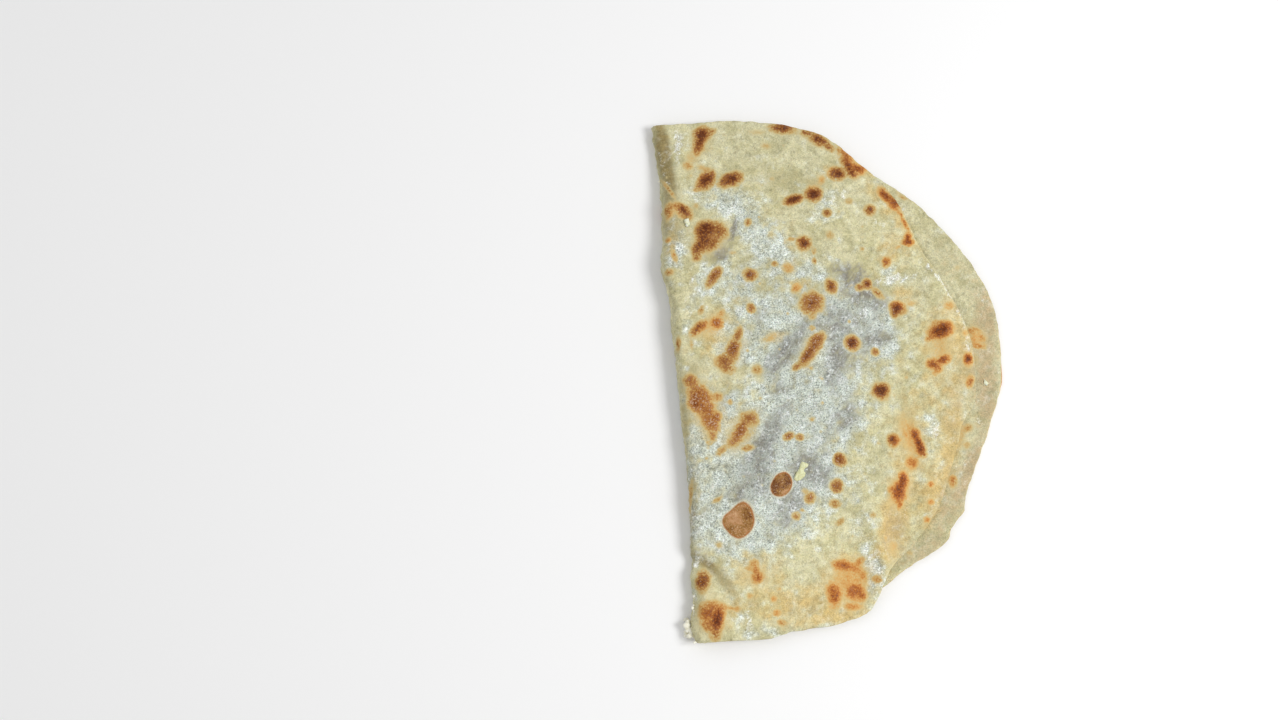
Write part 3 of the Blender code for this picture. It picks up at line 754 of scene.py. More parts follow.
def scattered(rng, sign, kind):
    # browned spots strewn over one half of the sheet: 1 for the top flap, -1 for the under one
    count, (least, most), darks = scattering[kind]
    spots = []
    for _ in range(count):
        angle = rng.uniform(-scattering["turned"], scattering["turned"])
        reach = float(atAngle(sheetReach, angle if sign > 0 else angle + 180))
        out = math.sqrt(rng.uniform(*scattering["out"])) * reach
        size = least + (most - least) * rng.random() ** scattering["mostlySmall"]
        turn = math.radians(angle)
        long = size * rng.uniform(*scattering["long"])
        spots.append((
            sign * out * math.cos(turn), out * math.sin(turn), long, size,
            rng.uniform(0, 180), rng.uniform(*darks), scattering["soft"],
        ))
    return spots


rng = random.Random(scattering["seed"])
spotsOn = {
    "top": fromPhoto(toast["dark"] + toast["faint"]) + scattered(rng, 1, "freckles"),
    "underSide": scattered(rng, -1, "underSide") + scattered(rng, -1, "underFreckles"),
    "inside": scattered(rng, 1, "inside") + scattered(rng, -1, "inside"),
    "under": fromPhoto(toast["under"], underTop),
}
print("toast spots placed:", {key: len(spots) for key, spots in spotsOn.items()})

# soft patches under the toast by the photo's pixels:
# x, y, width, height, degrees turned, strength in percent
shades = {
    # grey violet, where the beans press against the dough
    "bean": (
        (733, 231, 35, 8, 76, 130), (721, 251, 26, 18, 60, 80), (720, 250, 9, 13, 80, 130),
        (723, 257, 10, 8, 20, 130), (848, 268, 40, 18, 0, 60), (861, 287, 62, 34, -42, 100),
        (876, 301, 28, 24, -40, 85), (828, 318, 40, 40, 0, 55), (784, 352, 66, 26, 50, 100),
        (774, 366, 34, 20, 40, 75), (838, 350, 60, 24, -86, 95), (883, 339, 20, 14, 30, 85),
        (804, 328, 22, 18, 30, 70), (744, 285, 50, 40, 60, 45), (704, 290, 40, 24, 80, 35),
        (767, 437, 90, 24, 58, 100), (760, 464, 34, 22, 50, 95), (815, 472, 46, 36, -20, 95),
        (848, 418, 40, 26, 62, 85), (780, 388, 26, 18, 30, 75), (790, 510, 50, 32, 40, 90),
        (752, 492, 52, 22, 10, 75), (731, 400, 40, 26, 50, 50), (700, 515, 60, 20, 82, 40),
        (834, 372, 36, 20, 60, 75), (762, 225, 50, 34, 0, 30), (757, 325, 50, 26, 60, 55),
        (820, 400, 80, 50, 50, 40), (760, 470, 90, 50, 40, 50), (840, 320, 100, 60, -30, 45),
        (800, 480, 90, 40, 60, 50), (790, 290, 60, 40, 30, 30), (720, 545, 60, 24, 30, 30),
        (760, 540, 60, 20, 20, 30), (707, 256, 20, 24, 0, 50), (862, 335, 110, 120, 0, 35),
        (832, 440, 60, 60, 30, 35), (866, 345, 30, 50, -20, 35),
    ),
    # amber, where the dough is thin and dry
    "amber": (
        (906, 470, 130, 34, 80, 75), (892, 530, 80, 28, 78, 100), (953, 450, 90, 22, 78, 85),
        (934, 492, 80, 24, 76, 85), (962, 345, 80, 20, -80, 75), (904, 298, 34, 26, 0, 60),
        (947, 308, 24, 20, 0, 60), (912, 240, 60, 14, -64, 60), (800, 604, 130, 40, 0, 75),
        (838, 616, 60, 16, 8, 90), (847, 578, 52, 56, 0, 80), (976, 338, 26, 30, 0, 85),
        (886, 205, 80, 22, -48, 60), (892, 250, 40, 44, -50, 60), (672, 235, 90, 14, 86, 45),
        (936, 340, 80, 44, 80, 45), (700, 165, 60, 34, 70, 30), (905, 400, 90, 50, 70, 25),
        (860, 165, 60, 22, -43, 55), (822, 175, 40, 12, 50, 60), (715, 325, 70, 36, 30, 40),
        (755, 572, 60, 40, 0, 45), (714, 618, 44, 36, 0, 45), (786, 240, 40, 44, 0, 30),
        (789, 268, 18, 18, 0, 40), (796, 287, 16, 14, 50, 35), (800, 284, 26, 16, 0, 45),
        (712, 410, 90, 60, -60, 35), (776, 337, 20, 14, 20, 50), (948, 400, 110, 40, 84, 50),
        (712, 345, 60, 20, 84, 40),
    ),
    # a whiter tone with a hint of green
    "pale": (
        (724, 200, 62, 30, -8, 66), (762, 232, 110, 40, -48, 80), (770, 262, 60, 30, -50, 55),
        (710, 278, 44, 34, 80, 50), (735, 275, 60, 60, 0, 50), (758, 310, 70, 60, 0, 65),
        (788, 330, 70, 60, 60, 75), (852, 318, 100, 70, -20, 100), (812, 272, 50, 24, 0, 45),
        (878, 345, 50, 50, 0, 60), (805, 385, 120, 90, 60, 90), (842, 410, 64, 100, 0, 70),
        (784, 440, 130, 80, 60, 90), (735, 480, 100, 130, 0, 90), (812, 482, 70, 64, 40, 85),
        (735, 530, 90, 70, 0, 75), (784, 522, 80, 50, 30, 65), (692, 318, 90, 18, 84, 40),
        (726, 412, 20, 60, -30, 75), (702, 404, 66, 36, -58, 70), (719, 334, 40, 30, 80, 60),
        (750, 352, 44, 34, 0, 85), (676, 250, 44, 22, 84, 85), (700, 440, 70, 24, 80, 60),
        (930, 430, 30, 34, 0, 50), (822, 205, 40, 50, 0, 50), (873, 574, 26, 56, 10, 65),
        (772, 632, 90, 14, 5, 40), (700, 590, 30, 16, 60, 40), (886, 276, 50, 22, 0, 45),
        (866, 505, 30, 90, -10, 30), (735, 610, 26, 30, 0, 40), (880, 385, 30, 60, 0, 20),
    ),
    # dark and see-through where the dough is moist; painted shade where it turns away from the
    # light, along the fold's edge and in the crease of the lower corner
    "olive": (
        (690, 480, 150, 24, 86, 35), (700, 395, 90, 50, -60, 25), (662, 144, 54, 15, -84, 100),
        (662, 150, 40, 10, -84, 80), (667, 176, 50, 12, -84, 100), (666, 160, 70, 14, -80, 80),
        (669, 212, 60, 16, 86, 60), (704, 562, 30, 11, -36, 85), (720, 575, 34, 15, -46, 58),
        (731, 591, 28, 16, -58, 38), (792, 182, 90, 36, 0, 35), (692, 520, 110, 12, 86, 45),
        (905, 560, 40, 16, 60, 40), (895, 532, 66, 28, 74, 33), (688, 395, 80, 14, 86, 45),
        (686, 225, 50, 30, 80, 30), (674, 228, 100, 20, 86, 40), (740, 160, 80, 30, -20, 20),
        (858, 290, 70, 50, -30, 35), (745, 490, 60, 30, 0, 35),
    ),
    # browner and duller, as the under flap is
    "tan": (
        (985, 340, 130, 30, 84, 85), (990, 400, 60, 22, 84, 65), (955, 262, 80, 24, -58, 35),
        (925, 545, 60, 24, 40, 45), (975, 470, 80, 26, 70, 85), (955, 400, 120, 26, 84, 35),
        (930, 560, 50, 30, 30, 30), (893, 532, 60, 22, 74, 55), (950, 500, 70, 26, 66, 60),
        (985, 370, 60, 20, 84, 40),
    ),
    # scraped and floury, with painted highlight along the top flap's raised rim and on glossy
    # spots
    "white": (
        (898, 278, 58, 14, 8, 74), (881, 283, 28, 10, -10, 50), (934, 429, 14, 22, -20, 84),
        (876, 562, 22, 44, 16, 72), (878, 578, 4, 4, 0, 100), (938, 279, 54, 5, -56, 90),
        (957, 312, 30, 5, -66, 90), (968, 348, 58, 4.5, -80, 80), (690, 300, 90, 14, 84, 40),
        (678, 150, 44, 12, 84, 55), (680, 246, 34, 14, 84, 65), (661, 160, 34, 6, -80, 65),
        (693, 455, 60, 12, 84, 40), (838, 197, 32, 22, 40, 60), (880, 223, 14, 9, -30, 70),
        (724, 210, 22, 24, 0, 50), (679, 140, 16, 38, 20, 45), (861, 310, 24, 24, 0, 45),
        (749, 624, 9, 26, 0, 80), (696, 564, 8, 8, 0, 85), (776, 518, 14, 12, 30, 60),
        (876, 483, 18, 5, 0, 60), (906, 518, 12, 12, 0, 55), (965, 464, 12, 12, 0, 55),
        (983, 422, 10, 14, 60, 70), (996, 356, 12, 10, 0, 45), (986, 297, 12, 9, 0, 60),
        (905, 208, 12, 9, 0, 55), (800, 262, 60, 30, -10, 25), (760, 235, 50, 30, 0, 30),
        (869, 537, 14, 22, 20, 40), (825, 210, 60, 30, -20, 25), (740, 300, 50, 30, 40, 20),
        (803, 410, 60, 40, 50, 20), (846, 400, 30, 30, 60, 25), (700, 500, 30, 34, 60, 22),
        (716, 600, 12, 16, 0, 30), (664, 182, 4, 22, 80, 70), (697, 600, 8, 30, 84, 55),
        (908, 500, 14, 34, 0, 35),
    ),
    # painted light, where the dough is bent up towards the light
    "lit": (
        (850, 560, 110, 90, 0, 70), (765, 570, 120, 60, 10, 80), (800, 615, 120, 20, 0, 40),
        (790, 530, 120, 40, 10, 70), (845, 520, 60, 60, 0, 60), (855, 220, 80, 50, -40, 60),
        (885, 260, 50, 60, -60, 50), (780, 235, 60, 50, 0, 45), (930, 350, 60, 100, 0, 20),
        (830, 140, 80, 24, -30, 50), (760, 330, 80, 60, 0, 30), (730, 565, 44, 12, -40, 60),
        (690, 320, 130, 20, 84, 60), (900, 245, 70, 36, -58, 60), (868, 572, 40, 44, 0, 50),
        (752, 620, 60, 30, 0, 50), (880, 178, 50, 14, -40, 60), (700, 300, 70, 40, 84, 40),
        (744, 590, 24, 12, -62, 50), (905, 430, 60, 60, 0, 25), (940, 285, 60, 20, -55, 30),
    ),
}


# the same shades where the photo shows nothing: how strong they are over the beans and along
# the sheet's edge, and where that fades, in shares of the way out
unseen = {
    "middle": {"bean": 0.55, "pale": 0.5, "white": 0.3},
    "rim": {"amber": 0.5, "olive": 0.25, "tan": 0.3},
    "middleFade": (0.6, 1.15),
    "rimFade": (0.80, 1.0),
}


def shadeValue(x, y, kind):
    found = np.zeros(len(x))
    for patch in fromPhoto(shades[kind]):
        found = 1 - (1 - found) * (1 - patch[-1] * softPatch(x, y, patch))
    return found


doughLook = {
    "cream": paint(207, 202, 164),
    "pale": paint(194, 202, 192),
    "moist": paint(190, 183, 134),
    # whitish flecks: partly flour, partly painted glints of the oily surface
    "flourAndGlint": paint(226, 232, 228),
    "white": paint(228, 230, 224),
    "murk": paint(162, 160, 134),
    "pit": paint(142, 142, 134),
    "bean": paint(114, 110, 106),
    "amber": paint(211, 181, 114),
    "olive": paint(136, 116, 66),
    "tan": paint(182, 160, 122),
    "seared": (
        (0.00, paint(204, 166, 124)), (0.30, paint(184, 138, 96)), (0.55, paint(154, 112, 58)),
        (0.80, paint(124, 80, 36)), (1.00, paint(100, 58, 26)),
    ),
    "crustRim": paint(168, 106, 52),
    "crustLight": paint(214, 178, 144),
    "air": paint(214, 208, 178),  # the paler dough round a blister
    # size in mm, detail and roughness of the noises
    "noises": (
        (12.0, 3.0, 0.5), (5.0, 2.5, 0.5), (2.8, 3.0, 0.55), (1.3, 3.0, 0.7), (0.55, 2.0, 0.6),
        (0.85, 1.0, 0.5),
    ),
    "streaks": (2.8, 4.0, 0.62),
    "scratches": (0.8, 3.0, 0.6),
    "scratched": (52, 1.8),  # degrees that both are turned, and how long they are drawn
    "blots": (6.0, 3.0, 0.55),
    "aslant": {"Rotation": (0.6, 0.3, 0.9), "Location": (0.3, 0.1, 0.2)},  # where the blots lie
    "bent": (0.4, 0.3),  # how much the streaks and the blots are bent
    "browning": (
        (0.00, paint(206, 196, 152)), (0.12, paint(203, 186, 136)), (0.27, paint(195, 166, 108)),
        (0.42, paint(180, 139, 80)), (0.59, paint(160, 110, 55)), (0.76, paint(138, 84, 38)),
        (0.88, paint(116, 62, 25)), (1.00, paint(88, 40, 12)),
    ),
    "warmBrowning": (
        (0.00, paint(214, 198, 150)), (0.12, paint(214, 187, 128)), (0.27, paint(212, 166, 98)),
        (0.42, paint(203, 140, 72)), (0.59, paint(181, 111, 49)), (0.76, paint(154, 83, 32)),
        (0.88, paint(126, 61, 23)), (1.00, paint(92, 40, 12)),
    ),
    "rough": 0.50,
    "grain": 0.34,  # mm, height of the fine surface
}


def doughMaterial():
    s = Shader("toasted dough")
    broad, patch, mottle, fine, speck, dust = [s.clouds(*sizes) for sizes in doughLook["noises"]]
    degrees, drawn = doughLook["scratched"]
    scratched = s.add(
        "ShaderNodeMapping", {"vector_type": "TEXTURE"},
        {"Vector": s.place(), "Rotation": (0, 0, math.radians(degrees)), "Scale": (drawn, 1, 1)},
    )
    bentStreaks, bentBlots = doughLook["bent"]
    streaks = s.clouds(*doughLook["streaks"], scratched, bentStreaks)
    scratches = s.clouds(*doughLook["scratches"], scratched)
    aslant = s.add(
        "ShaderNodeMapping", {"vector_type": "POINT"}, {"Vector": s.place(), **doughLook["aslant"]}
    )
    blots = s.clouds(*doughLook["blots"], aslant, bentBlots)
    grit = fine * 1.2 + speck * 1.6
    colour = doughLook["cream"]

    def lay(kind, value, low, high, most):
        # one shade over the colour so far; what comes back is how much of it shows
        nonlocal colour
        share = s.rise(value, low, high)
        colour = s.mix(share * most, colour, doughLook[kind])
        return share

    lay("moist", blots * 0.6 + broad * 0.4, -0.08, 0.12, 0.75)
    pale = lay("pale", s.painted("pale") + patch * 1.8 + grit * 0.1, 0.15, 0.95, 0.95)
    lay("amber", s.painted("amber") - patch * 1.6 - mottle * 0.5, 0.15, 1.05, 0.85)
    lay("tan", s.painted("tan") + mottle * 1.4 + grit * 0.1, 0.1, 0.9, 0.85)
    # olive is painted shade along the fold and in the corner's crease, and moist see-through dough
    # elsewhere
    lay("olive", s.painted("olive") + mottle + grit * 0.15, 0.15, 1.0, 0.85)
    lay("murk", blots + grit * 0.1, -0.03, 0.18, 0.25 + pale * 0.28)
    pressed = s.painted("bean") + streaks * 1.7 + mottle * 1.2 + grit * 0.7
    bean = lay("bean", pressed, 0.36, 1.24, 0.85)
    # whitish flecks of flour, with painted glints among them
    lay("flourAndGlint", streaks * 0.4 + patch * 0.3 + fine * 0.3, -0.01, 0.13, 0.14 + pale * 0.4)
    # white is scraped, floury dough and painted highlight on the raised rim and glossy spots
    lay("white", s.painted("white") * 1.1 + streaks * 2.2 + grit * 0.6, 0.5, 1.25, 0.9)
    lay("pit", speck * 0.4 + scratches * 0.6, 0.05, 0.2, 0.1 + pale * 0.38)
    grain = fine * (0.7 + pale * 0.6) + speck * (1.1 + pale * 1.8)
    # the lit patches are painted light; grain, mottle and patch are the dough's own uneven tone
    lighter = 1 + grain + mottle * 0.8 + patch * 0.3 + s.painted("lit") * 0.09
    tone = s.add("ShaderNodeCombineColor", {}, {0: lighter, 1: lighter, 2: lighter})
    colour = s.mix(1.0, colour, tone, "MULTIPLY")
    lay("flourAndGlint", scratches, 0.06, 0.2, bean * 0.5 + pale * 0.3)

    # the browned spots, with crumbs of flour on the paler ones
    toasted = s.painted("toast")
    warm = s.rise(s.painted("amber"), 0.05, 0.75)
    uneven = grit * 0.44 + dust * (1 - warm * 0.4) + mottle * 0.4
    cooked = toasted + s.rise(toasted, 0.03, 0.5) * uneven
    cool, golden = (s.ramp(cooked, *doughLook[key]) for key in ("browning", "warmBrowning"))
    colour = s.mix(s.rise(cooked, 0.0, 0.2), colour, s.mix(warm, cool, golden))
    floury = s.rise(toasted, 0.3, 0.65) * (1 - s.rise(toasted, 0.72, 0.98) * 0.6)
    lay("crustLight", dust * 0.8 + speck * 0.2, 0.03, 0.13, floury * (0.14 + pale * 0.62))

    # the two flat blisters, with faint rings where they are darkest
    inward, seared = s.painted("blister"), s.painted("seared")
    rings = (inward * 34 + mottle * 14).sine()
    rings = s.rise(rings, 0.3, 1.0) * s.rise(seared, 0.54, 0.7)
    dark = seared + fine + mottle * 0.8 + rings * 0.22
    within = s.rise(inward + mottle * 0.22 + fine * 0.12, 0.2, 0.34)
    crust = s.mix(within, doughLook["crustRim"], s.ramp(dark, *doughLook["seared"]))
    floury = s.rise(speck * 0.7 + fine * 0.3, 0.03, 0.16)
    crust = s.mix(floury * 0.6, crust, doughLook["crustLight"])
    lay("air", inward, 0.04, 0.2, 0.6)
    colour = s.mix(s.rise(inward + fine * 0.05, 0.16, 0.26), colour, crust)

    rough = doughLook["rough"] + mottle * 0.7 + grit * 0.3 + toasted * 0.1
    return s.finish(
        Base_Color=colour, Roughness=rough.clipped(0.22, 0.9),
        Normal=s.bump(fine * 0.9 + speck * 0.35 + mottle * 0.8, doughLook["grain"]),
        Subsurface_Weight=0.05, Subsurface_Radius=(1.0, 0.6, 0.3), Subsurface_Scale=0.001,
        Specular_IOR_Level=0.15,
    )


beanLook = {
    "dark": paint(72, 38, 36),
    "light": paint(124, 76, 66),
    "skin": paint(54, 22, 26),
}


def beanMaterial():
    s = Shader("mashed beans")
    mash, skins = s.clouds(3.0, 4.0, 0.6), s.clouds(1.2, 3.0, 0.6)
    colour = s.mix(s.rise(mash, -0.15, 0.18), beanLook["dark"], beanLook["light"])
    colour = s.mix(s.rise(skins, 0.1, 0.2), colour, beanLook["skin"])
    return s.finish(
        Base_Color=colour, Roughness=0.5 + skins * 0.4, Normal=s.bump(mash + skins * 0.6, 0.35)
    )


cheese = {"size": 1.6, "grainy": 0.3, "rough": (0.545, 0.25), "deep": 0.08, "soft": 0.15}
curdLook = {
    "flake": {"dark": paint(206, 205, 156), "light": paint(222, 224, 182), **cheese},
    "crumb": {"dark": paint(222, 224, 182), "light": paint(232, 234, 218), **cheese},
    "torn": {
        "dark": paint(238, 233, 208), "light": paint(250, 248, 234),
        "size": 1.4, "grainy": 0, "rough": (0.6, 0.3), "deep": 0.12, "soft": 0,
    },
}


def curdMaterial(name, look):
    # soft crumbly stuff of two pale colours
    s = Shader(name)
    curd, grain = s.clouds(look["size"], 3.0), s.clouds(0.4, 3.0, 0.6)
    share = s.rise(curd * (1 - look["grainy"]) + grain * look["grainy"], -0.15, 0.15)
    return s.finish(
        Base_Color=s.mix(share, look["dark"], look["light"]),
        Roughness=look["rough"][0] + grain * look["rough"][1],
        Normal=s.bump(grain + curd, look["deep"]),
        Subsurface_Weight=look["soft"], Subsurface_Radius=(1.0, 0.8, 0.5),
        Subsurface_Scale=0.001,
    )


def sheetDepth(table):
    def depth(x, y):
        return atAngle(table, np.degrees(np.arctan2(y, x))) - np.hypot(x, y)
    return depth


def frayedReach():
    # the edge with its finer nicks and bumps
    x, y = roundPlaces(sheetReach).T
    nicks = sum(share * field(x, y, size, seed) for size, seed, share in sheet["frayNoises"])
    low, high, deep = sheet["torn"]
    return sheetReach + sheet["fray"] * (nicks - deep * smooth(low, high, nicks))


def outward(x, y):
    # which way is out, along the closed row of the edge's places
    dx, dy = np.roll(x, -1) - np.roll(x, 1), np.roll(y, -1) - np.roll(y, 1)
    length = np.hypot(dx, dy)
    return dy / length, -dx / length


def relief(x, y, side):
    # the fine lumps of one side of the sheet, and its rough fold
    height = sum(high * field(x, y, size, size + side) for size, high in sheet["lumps"])
    size, high, seed = sheet["foldRough"]
    return height + high * bell(x, sheet["foldAlong"]) * field(x, y, size, seed + side)


def normalsOf(points, faces):
    mesh = bpy.data.meshes.new("shape")
    mesh.from_pydata(points, [], faces)
    normals = np.zeros(len(points) * 3, np.float32)
    mesh.vertex_normals.foreach_get("vector", normals)
    bpy.data.meshes.remove(mesh)
    return normals.reshape(-1, 3)


def buildTortilla():
    reach = frayedReach()
    across, y, triangles, rim = net(
        roundPlaces(reach), sheetDepth(reach), sheet["spacing"], sheet["bendCloser"]
    )
    count = len(across)
    outer, inner = folded(across, y, True), folded(across, y, False)
    awayX, awayY = outward(across[:rim], y[:rim])
    lip = []
    for out, share in sheet["lip"]:
        spread = across[:rim] + awayX * out, y[:rim] + awayY * out
        lip.append((1 - share) * folded(*spread, True) + share * folded(*spread, False))
    points, faces = closedForm(outer, inner, triangles, rim, lip)

    # browning and shades; what the photo doesn't show gets a share by its place
    top = across >= 0
    outX, inX = outer[:, 0], inner[:, 0]
    toasted = np.where(
        top, spotValue(outX, y, spotsOn["top"]), spotValue(across, y, spotsOn["underSide"])
    )
    toastedInside = np.maximum(
        spotValue(across, y, spotsOn["inside"]),
        np.where(top, 0, spotValue(inX, y, spotsOn["under"])),
    )
    middle = 1 - smooth(*unseen["middleFade"], shareOut(np.abs(across), y, beanReach)[0])
    rimNear = smooth(*unseen["rimFade"], shareOut(across, y, sheetReach)[0])
    blister, seared = blisterValue(np.where(top, outX, noBlister), y)
    toasted *= 1 - smooth(0.0, blisterRim, blister)

    def numbered(outside, inside):
        return np.concatenate([outside, inside, np.tile(outside[:rim], len(lip))])

    numbers = {
        "toast": numbered(toasted, toastedInside),
        "blister": numbered(blister, np.zeros(count)),
        "seared": numbered(seared, np.zeros(count)),
    }
    for kind in shades:
        # the under flap's rim shows beside the top flap, on the sheet's inner side
        rest = unseen["middle"].get(kind, 0) * middle + unseen["rim"].get(kind, 0) * rimNear
        seen = np.maximum(rest * (1 - rimNear), shadeValue(inX, y, kind) * rimNear)
        outside = np.where(top, shadeValue(outX, y, kind), rest)
        numbers[kind] = numbered(outside, np.where(top, rest, seen))

    # the finer relief, out along each side's normal
    risen = np.maximum(
        smooth(*sheet["blisterFrom"], toasted), smooth(*sheet["flatBlisterFrom"], blister)
    )
    raised = relief(across, y, 1) + sheet["blister"] * risen
    for run, wide, rise in sheet["wrinkles"]:
        line = [photoPlace(px, py, sheet["wrinklesAt"]) for px, py in run]
        raised += np.where(top, rise * bell(runDistance(outX, y, line), wide), 0)
    raisedInside = relief(across, y, 2) * sheet["innerShare"]
    lipRaised = [
        (1 - share) * raised[:rim] + share * raisedInside[:rim] for _, share in sheet["lip"]
    ]
    raised = np.concatenate([raised, raisedInside, *lipRaised])
    points += normalsOf(points, faces) * raised[:, None]
    points[:, 2] = np.maximum(points[:, 2], 0)
    piece = meshPiece("tortilla_dough", points, faces, doughMaterial(), numbers)
    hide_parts("tortilla")


def buildBeans():
    nose = sheet["dough"] + beans["clear"]
    ring = roundPlaces(beanReach)
    ring = ring[ring[:, 0] > nose]
    fromEdge = sheetDepth(beanReach)
    x, y, triangles, rim = net(
        ring[np.argsort(np.arctan2(ring[:, 1], ring[:, 0]))],
        lambda a, b: np.minimum(fromEdge(a, b), a - nose),
        beans["spacing"], 1.0,
    )
    low, high = underTop(x, y), topBottom(x, y)
    bend = np.minimum(1, (x - sheet["dough"]) / (sheet["foldDepth"] - sheet["dough"]))
    half = (high - low) / 2 * np.sqrt(1 - (1 - bend) ** 2) - beans["clear"]
    mash = sum(tall * field(x, y, size, beans["mashSeed"]) for size, tall in beans["mash"])
    half += np.minimum(mash, beans["mashUpTo"]) - beans["mashUpTo"]
    half = np.maximum(half, beans["thinnest"] / 2)
    eased = x + foldLine(y) * np.maximum(0, 1 - x / sheet["foldEase"])
    sides = [np.stack([eased, y, (high + low) / 2 + up], axis=1) for up in (half, -half)]
    points, faces = closedForm(*sides, triangles, rim)
    piece = meshPiece("mashed_beans", points, faces, beanMaterial())
    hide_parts("bean_filling")


# bits of crumbled cheese: outline by the photo's pixels, thickness in mm, the side they lie on
# and about how high it is
bits = {
    "cheese_flake": {
        "outline": (
            (801.7, 461.7), (805.8, 462.8), (808.8, 464.0), (807.8, 466.9), (805.0, 468.2),
            (803.7, 470.8), (805.9, 473.3), (804.8, 476.4), (800.8, 480.0), (796.7, 481.4),
            (794.1, 479.9), (794.5, 475.8), (797.0, 471.7), (799.4, 467.5), (800.0, 464.2),
        ),
        "thick": 0.9,
        "on": (topTop, 8.0),
        "look": "flake",
    },
    "cheese_crumb": {
        "outline": ((683.4, 219.9), (688.5, 218.2), (690.4, 225.4), (686.3, 227.6)),
        "thick": 1.2,
        "on": (topTop, 8.0),
        "look": "crumb",
    },
    "cheese_sliver": {
        "outline": ((984.3, 379.4), (988.8, 383.2), (986.9, 385.9), (983.6, 383.6)),
        "thick": 0.9,
        "on": (underTop, 3.0),
        "look": "crumb",
    },
}


def insideDepth(edge):
    # how far in from a closed outline, below 0 outside it
    closed = [tuple(spot) for spot in edge] + [tuple(edge[0])]

    def depth(x, y):
        within = np.zeros(np.shape(x), bool)
        for (ax, ay), (bx, by) in zip(closed, closed[1:]):
            if ay != by:
                crosses = ((ay > y) != (by > y)) & (x < ax + (y - ay) * (bx - ax) / (by - ay))
                within ^= crosses
        away = runDistance(x, y, closed)
        return np.where(within, away, -away)
    return depth


bitForm = {
    "spacing": 0.30,
    "rounded": 0.8,  # mm from its edge to its full thickness
    "edge": 0.3,  # share of the thickness that the edge has
    "crumbly": ((1.1, 6.1, 0.35), (0.5, 2.2, 0.20)),  # size, seed, share of the thickness
    "sunk": 0.3,  # mm into what it lies on
}


def buildBit(name, bit):
    face, height = bit["on"]
    edge = np.array([photoPlace(px, py, height) for px, py in bit["outline"]])
    height = float(np.mean(face(edge[:, 0], edge[:, 1])))
    edge = np.array([photoPlace(px, py, height) for px, py in bit["outline"]])
    depth = insideDepth(edge)
    x, y, triangles, rim = net(edge, depth, bitForm["spacing"], 1.0)
    rounded = np.clip(depth(x, y) / bitForm["rounded"], 0, 1)
    share = bitForm["edge"] + (1 - bitForm["edge"]) * np.sqrt(1 - (1 - rounded) ** 2)
    share += sum(high * field(x, y, size, seed) for size, seed, high in bitForm["crumbly"])
    ups = bit["thick"] * share, -bitForm["sunk"]
    sides = [np.stack([x, y, face(x, y) + up], axis=1) for up in ups]
    points, faces = closedForm(*sides, triangles, rim)
    material = curdMaterial(name.replace("_", " "), curdLook[bit["look"]])
    meshPiece(name, points, faces, material)


# torn bits of dough at the ends of the fold: middle by the photo's pixels, spread in pixels,
# whether they lie on the flap or the floor, radius in mm from and to
tornBits = (
    {"count": 20, "at": (689, 629), "spread": (4.0, 6.0), "onFlap": False, "size": (0.6, 1.4)},
    {"count": 44, "at": (696, 619), "spread": (3.0, 18.0), "onFlap": True, "size": (0.25, 0.75)},
    {"count": 14, "at": (663, 182), "spread": (3.5, 12.0), "onFlap": True, "size": (0.2, 0.5)},
)
tornForm = {
    "seed": 5,
    "scatter": 0.5,  # deviation of their places, in spreads
    "height": 5.0,  # mm above the floor, about where the photo shows them
    "pile": 4.0,  # mm, how high they lie beside the fold
    "flapFrom": 1.5,  # mm from the fold, where its face is steep
    "dents": (1.3, 0.4),  # how many and how deep
    "long": (0.8, 1.5),
    "wide": (0.8, 1.2),
    "tall": 0.8,
    "lowest": 0.7,  # in radii, how near the floor their middles come
    "unlike": 40,  # mm between the noises of bits of unlike size
}


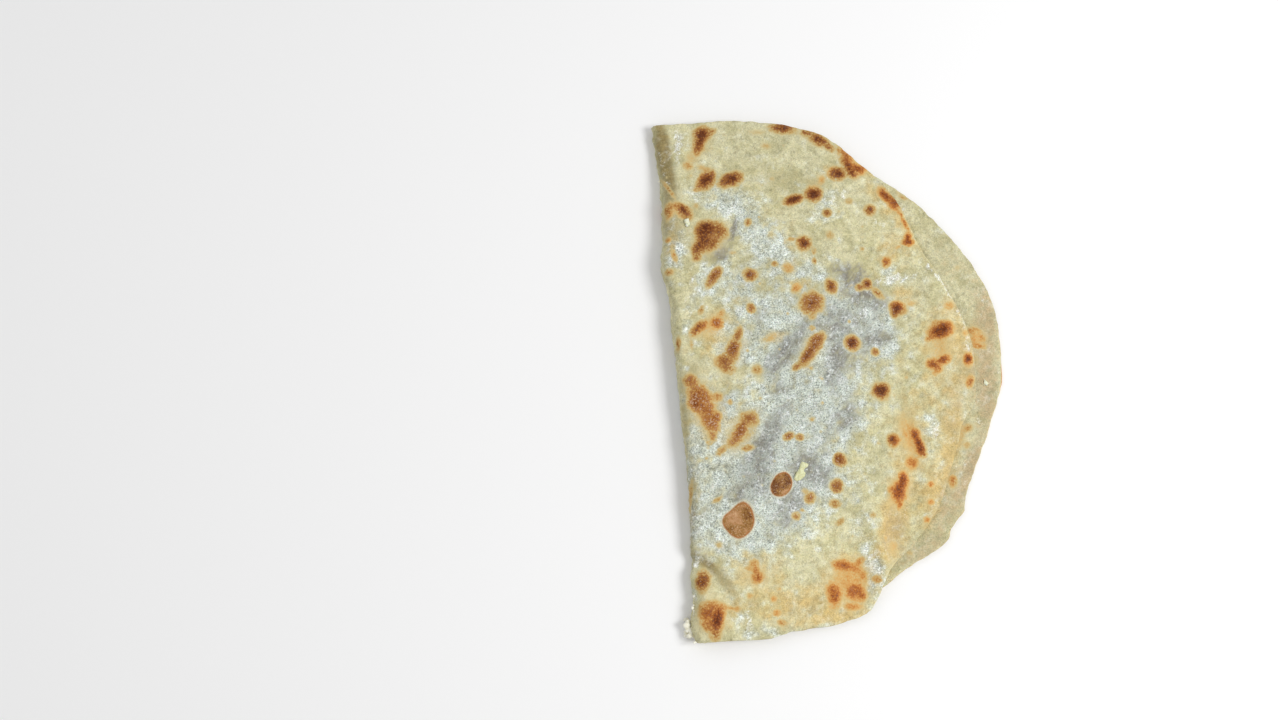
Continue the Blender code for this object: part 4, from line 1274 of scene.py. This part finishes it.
def buildTornBits():
    ball = bmesh.new()
    bmesh.ops.create_icosphere(ball, subdivisions=2, radius=1)
    shape = np.array([tuple(v.co) for v in ball.verts])
    around = [tuple(v.index for v in face.verts) for face in ball.faces]
    ball.free()
    rng = random.Random(tornForm["seed"])
    points, faces = [], []
    many, deep = tornForm["dents"]
    for group in [group for group in tornBits for _ in range(group["count"])]:
        px, py = (
            middle + rng.gauss(0, tornForm["scatter"]) * spread
            for middle, spread in zip(group["at"], group["spread"])
        )
        size = rng.uniform(*group["size"])
        x, y = photoPlace(px, py, tornForm["height"])
        if group["onFlap"]:
            bare = max(x - float(foldLine(y)), tornForm["flapFrom"])
            ground = float(folded(np.array([bare]), np.array([y]), True)[0, 2])
        else:
            ground = rng.uniform(size * tornForm["lowest"], tornForm["pile"])
        own = Vector((x, y, size * tornForm["unlike"]))
        dents = [noise.noise(Vector(spot) * many + own) for spot in shape]
        drawn = rng.uniform(*tornForm["long"]), rng.uniform(*tornForm["wide"]), tornForm["tall"]
        lump = shape * (1 + deep * np.array(dents))[:, None] * size * drawn
        faces += [tuple(len(points) * len(shape) + k for k in face) for face in around]
        points.append(lump + (x, y, max(ground, size * tornForm["tall"])))
    material = curdMaterial("torn dough", curdLook["torn"])
    meshPiece("torn_dough", np.vstack(points), faces, material)


buildTortilla()
buildBeans()
for name, bit in bits.items():
    buildBit(name, bit)
buildTornBits()

stageLook = {"size": 3.0, "colour": paint(246, 246, 246), "rough": 0.8, "air": 0.55}


def buildStage():
    half = stageLook["size"] / 2
    mesh = bpy.data.meshes.new("floor")
    corners = [(-half, -half, 0), (half, -half, 0), (half, half, 0), (-half, half, 0)]
    mesh.from_pydata(corners, [], [(0, 1, 2, 3)])
    s = Shader("pale floor")
    mesh.materials.append(s.finish(Base_Color=stageLook["colour"], Roughness=stageLook["rough"]))
    floor = inScene("floor", mesh)
    world = bpy.data.worlds.new("soft air")
    world.use_nodes = True
    air = world.node_tree.nodes["Background"].inputs
    air["Color"].default_value = (1, 1, 1, 1)
    air["Strength"].default_value = stageLook["air"]
    bpy.context.scene.world = world


lamps = {
    "key": {"at": (0.62, -0.18, 0.80), "size": 0.45, "power": 6.6},
    "fill": {"at": (-0.7, 0.4, 0.9), "size": 0.9, "power": 1.2},
}


def buildLamps():
    for name, lamp in lamps.items():
        light = bpy.data.lights.new(name, "AREA")
        light.shape = "DISK"
        light.size = lamp["size"]
        light.energy = lamp["power"]
        made = inScene(name, light)
        made.location = lamp["at"]
        made.rotation_euler = (-Vector(lamp["at"])).to_track_quat("-Z", "Y").to_euler()


def buildCamera():
    right, up, back = cameraAxes()
    data = bpy.data.cameras.new("camera")
    data.lens = camera["lens"]
    data.sensor_width = camera["sensor"]
    data.clip_start = camera["near"]
    made = inScene("camera", data)
    spot = (foldMiddle + Vector(camera["aim"]) + back * camera["away"]) * mm
    made.matrix_world = Matrix.Translation(spot) @ Matrix((right, up, back)).transposed().to_4x4()
    bpy.context.scene.camera = made


buildStage()
buildLamps()
buildCamera()
bpy.context.scene.view_settings.view_transform = "Standard"
print("stage, lamps and camera set")
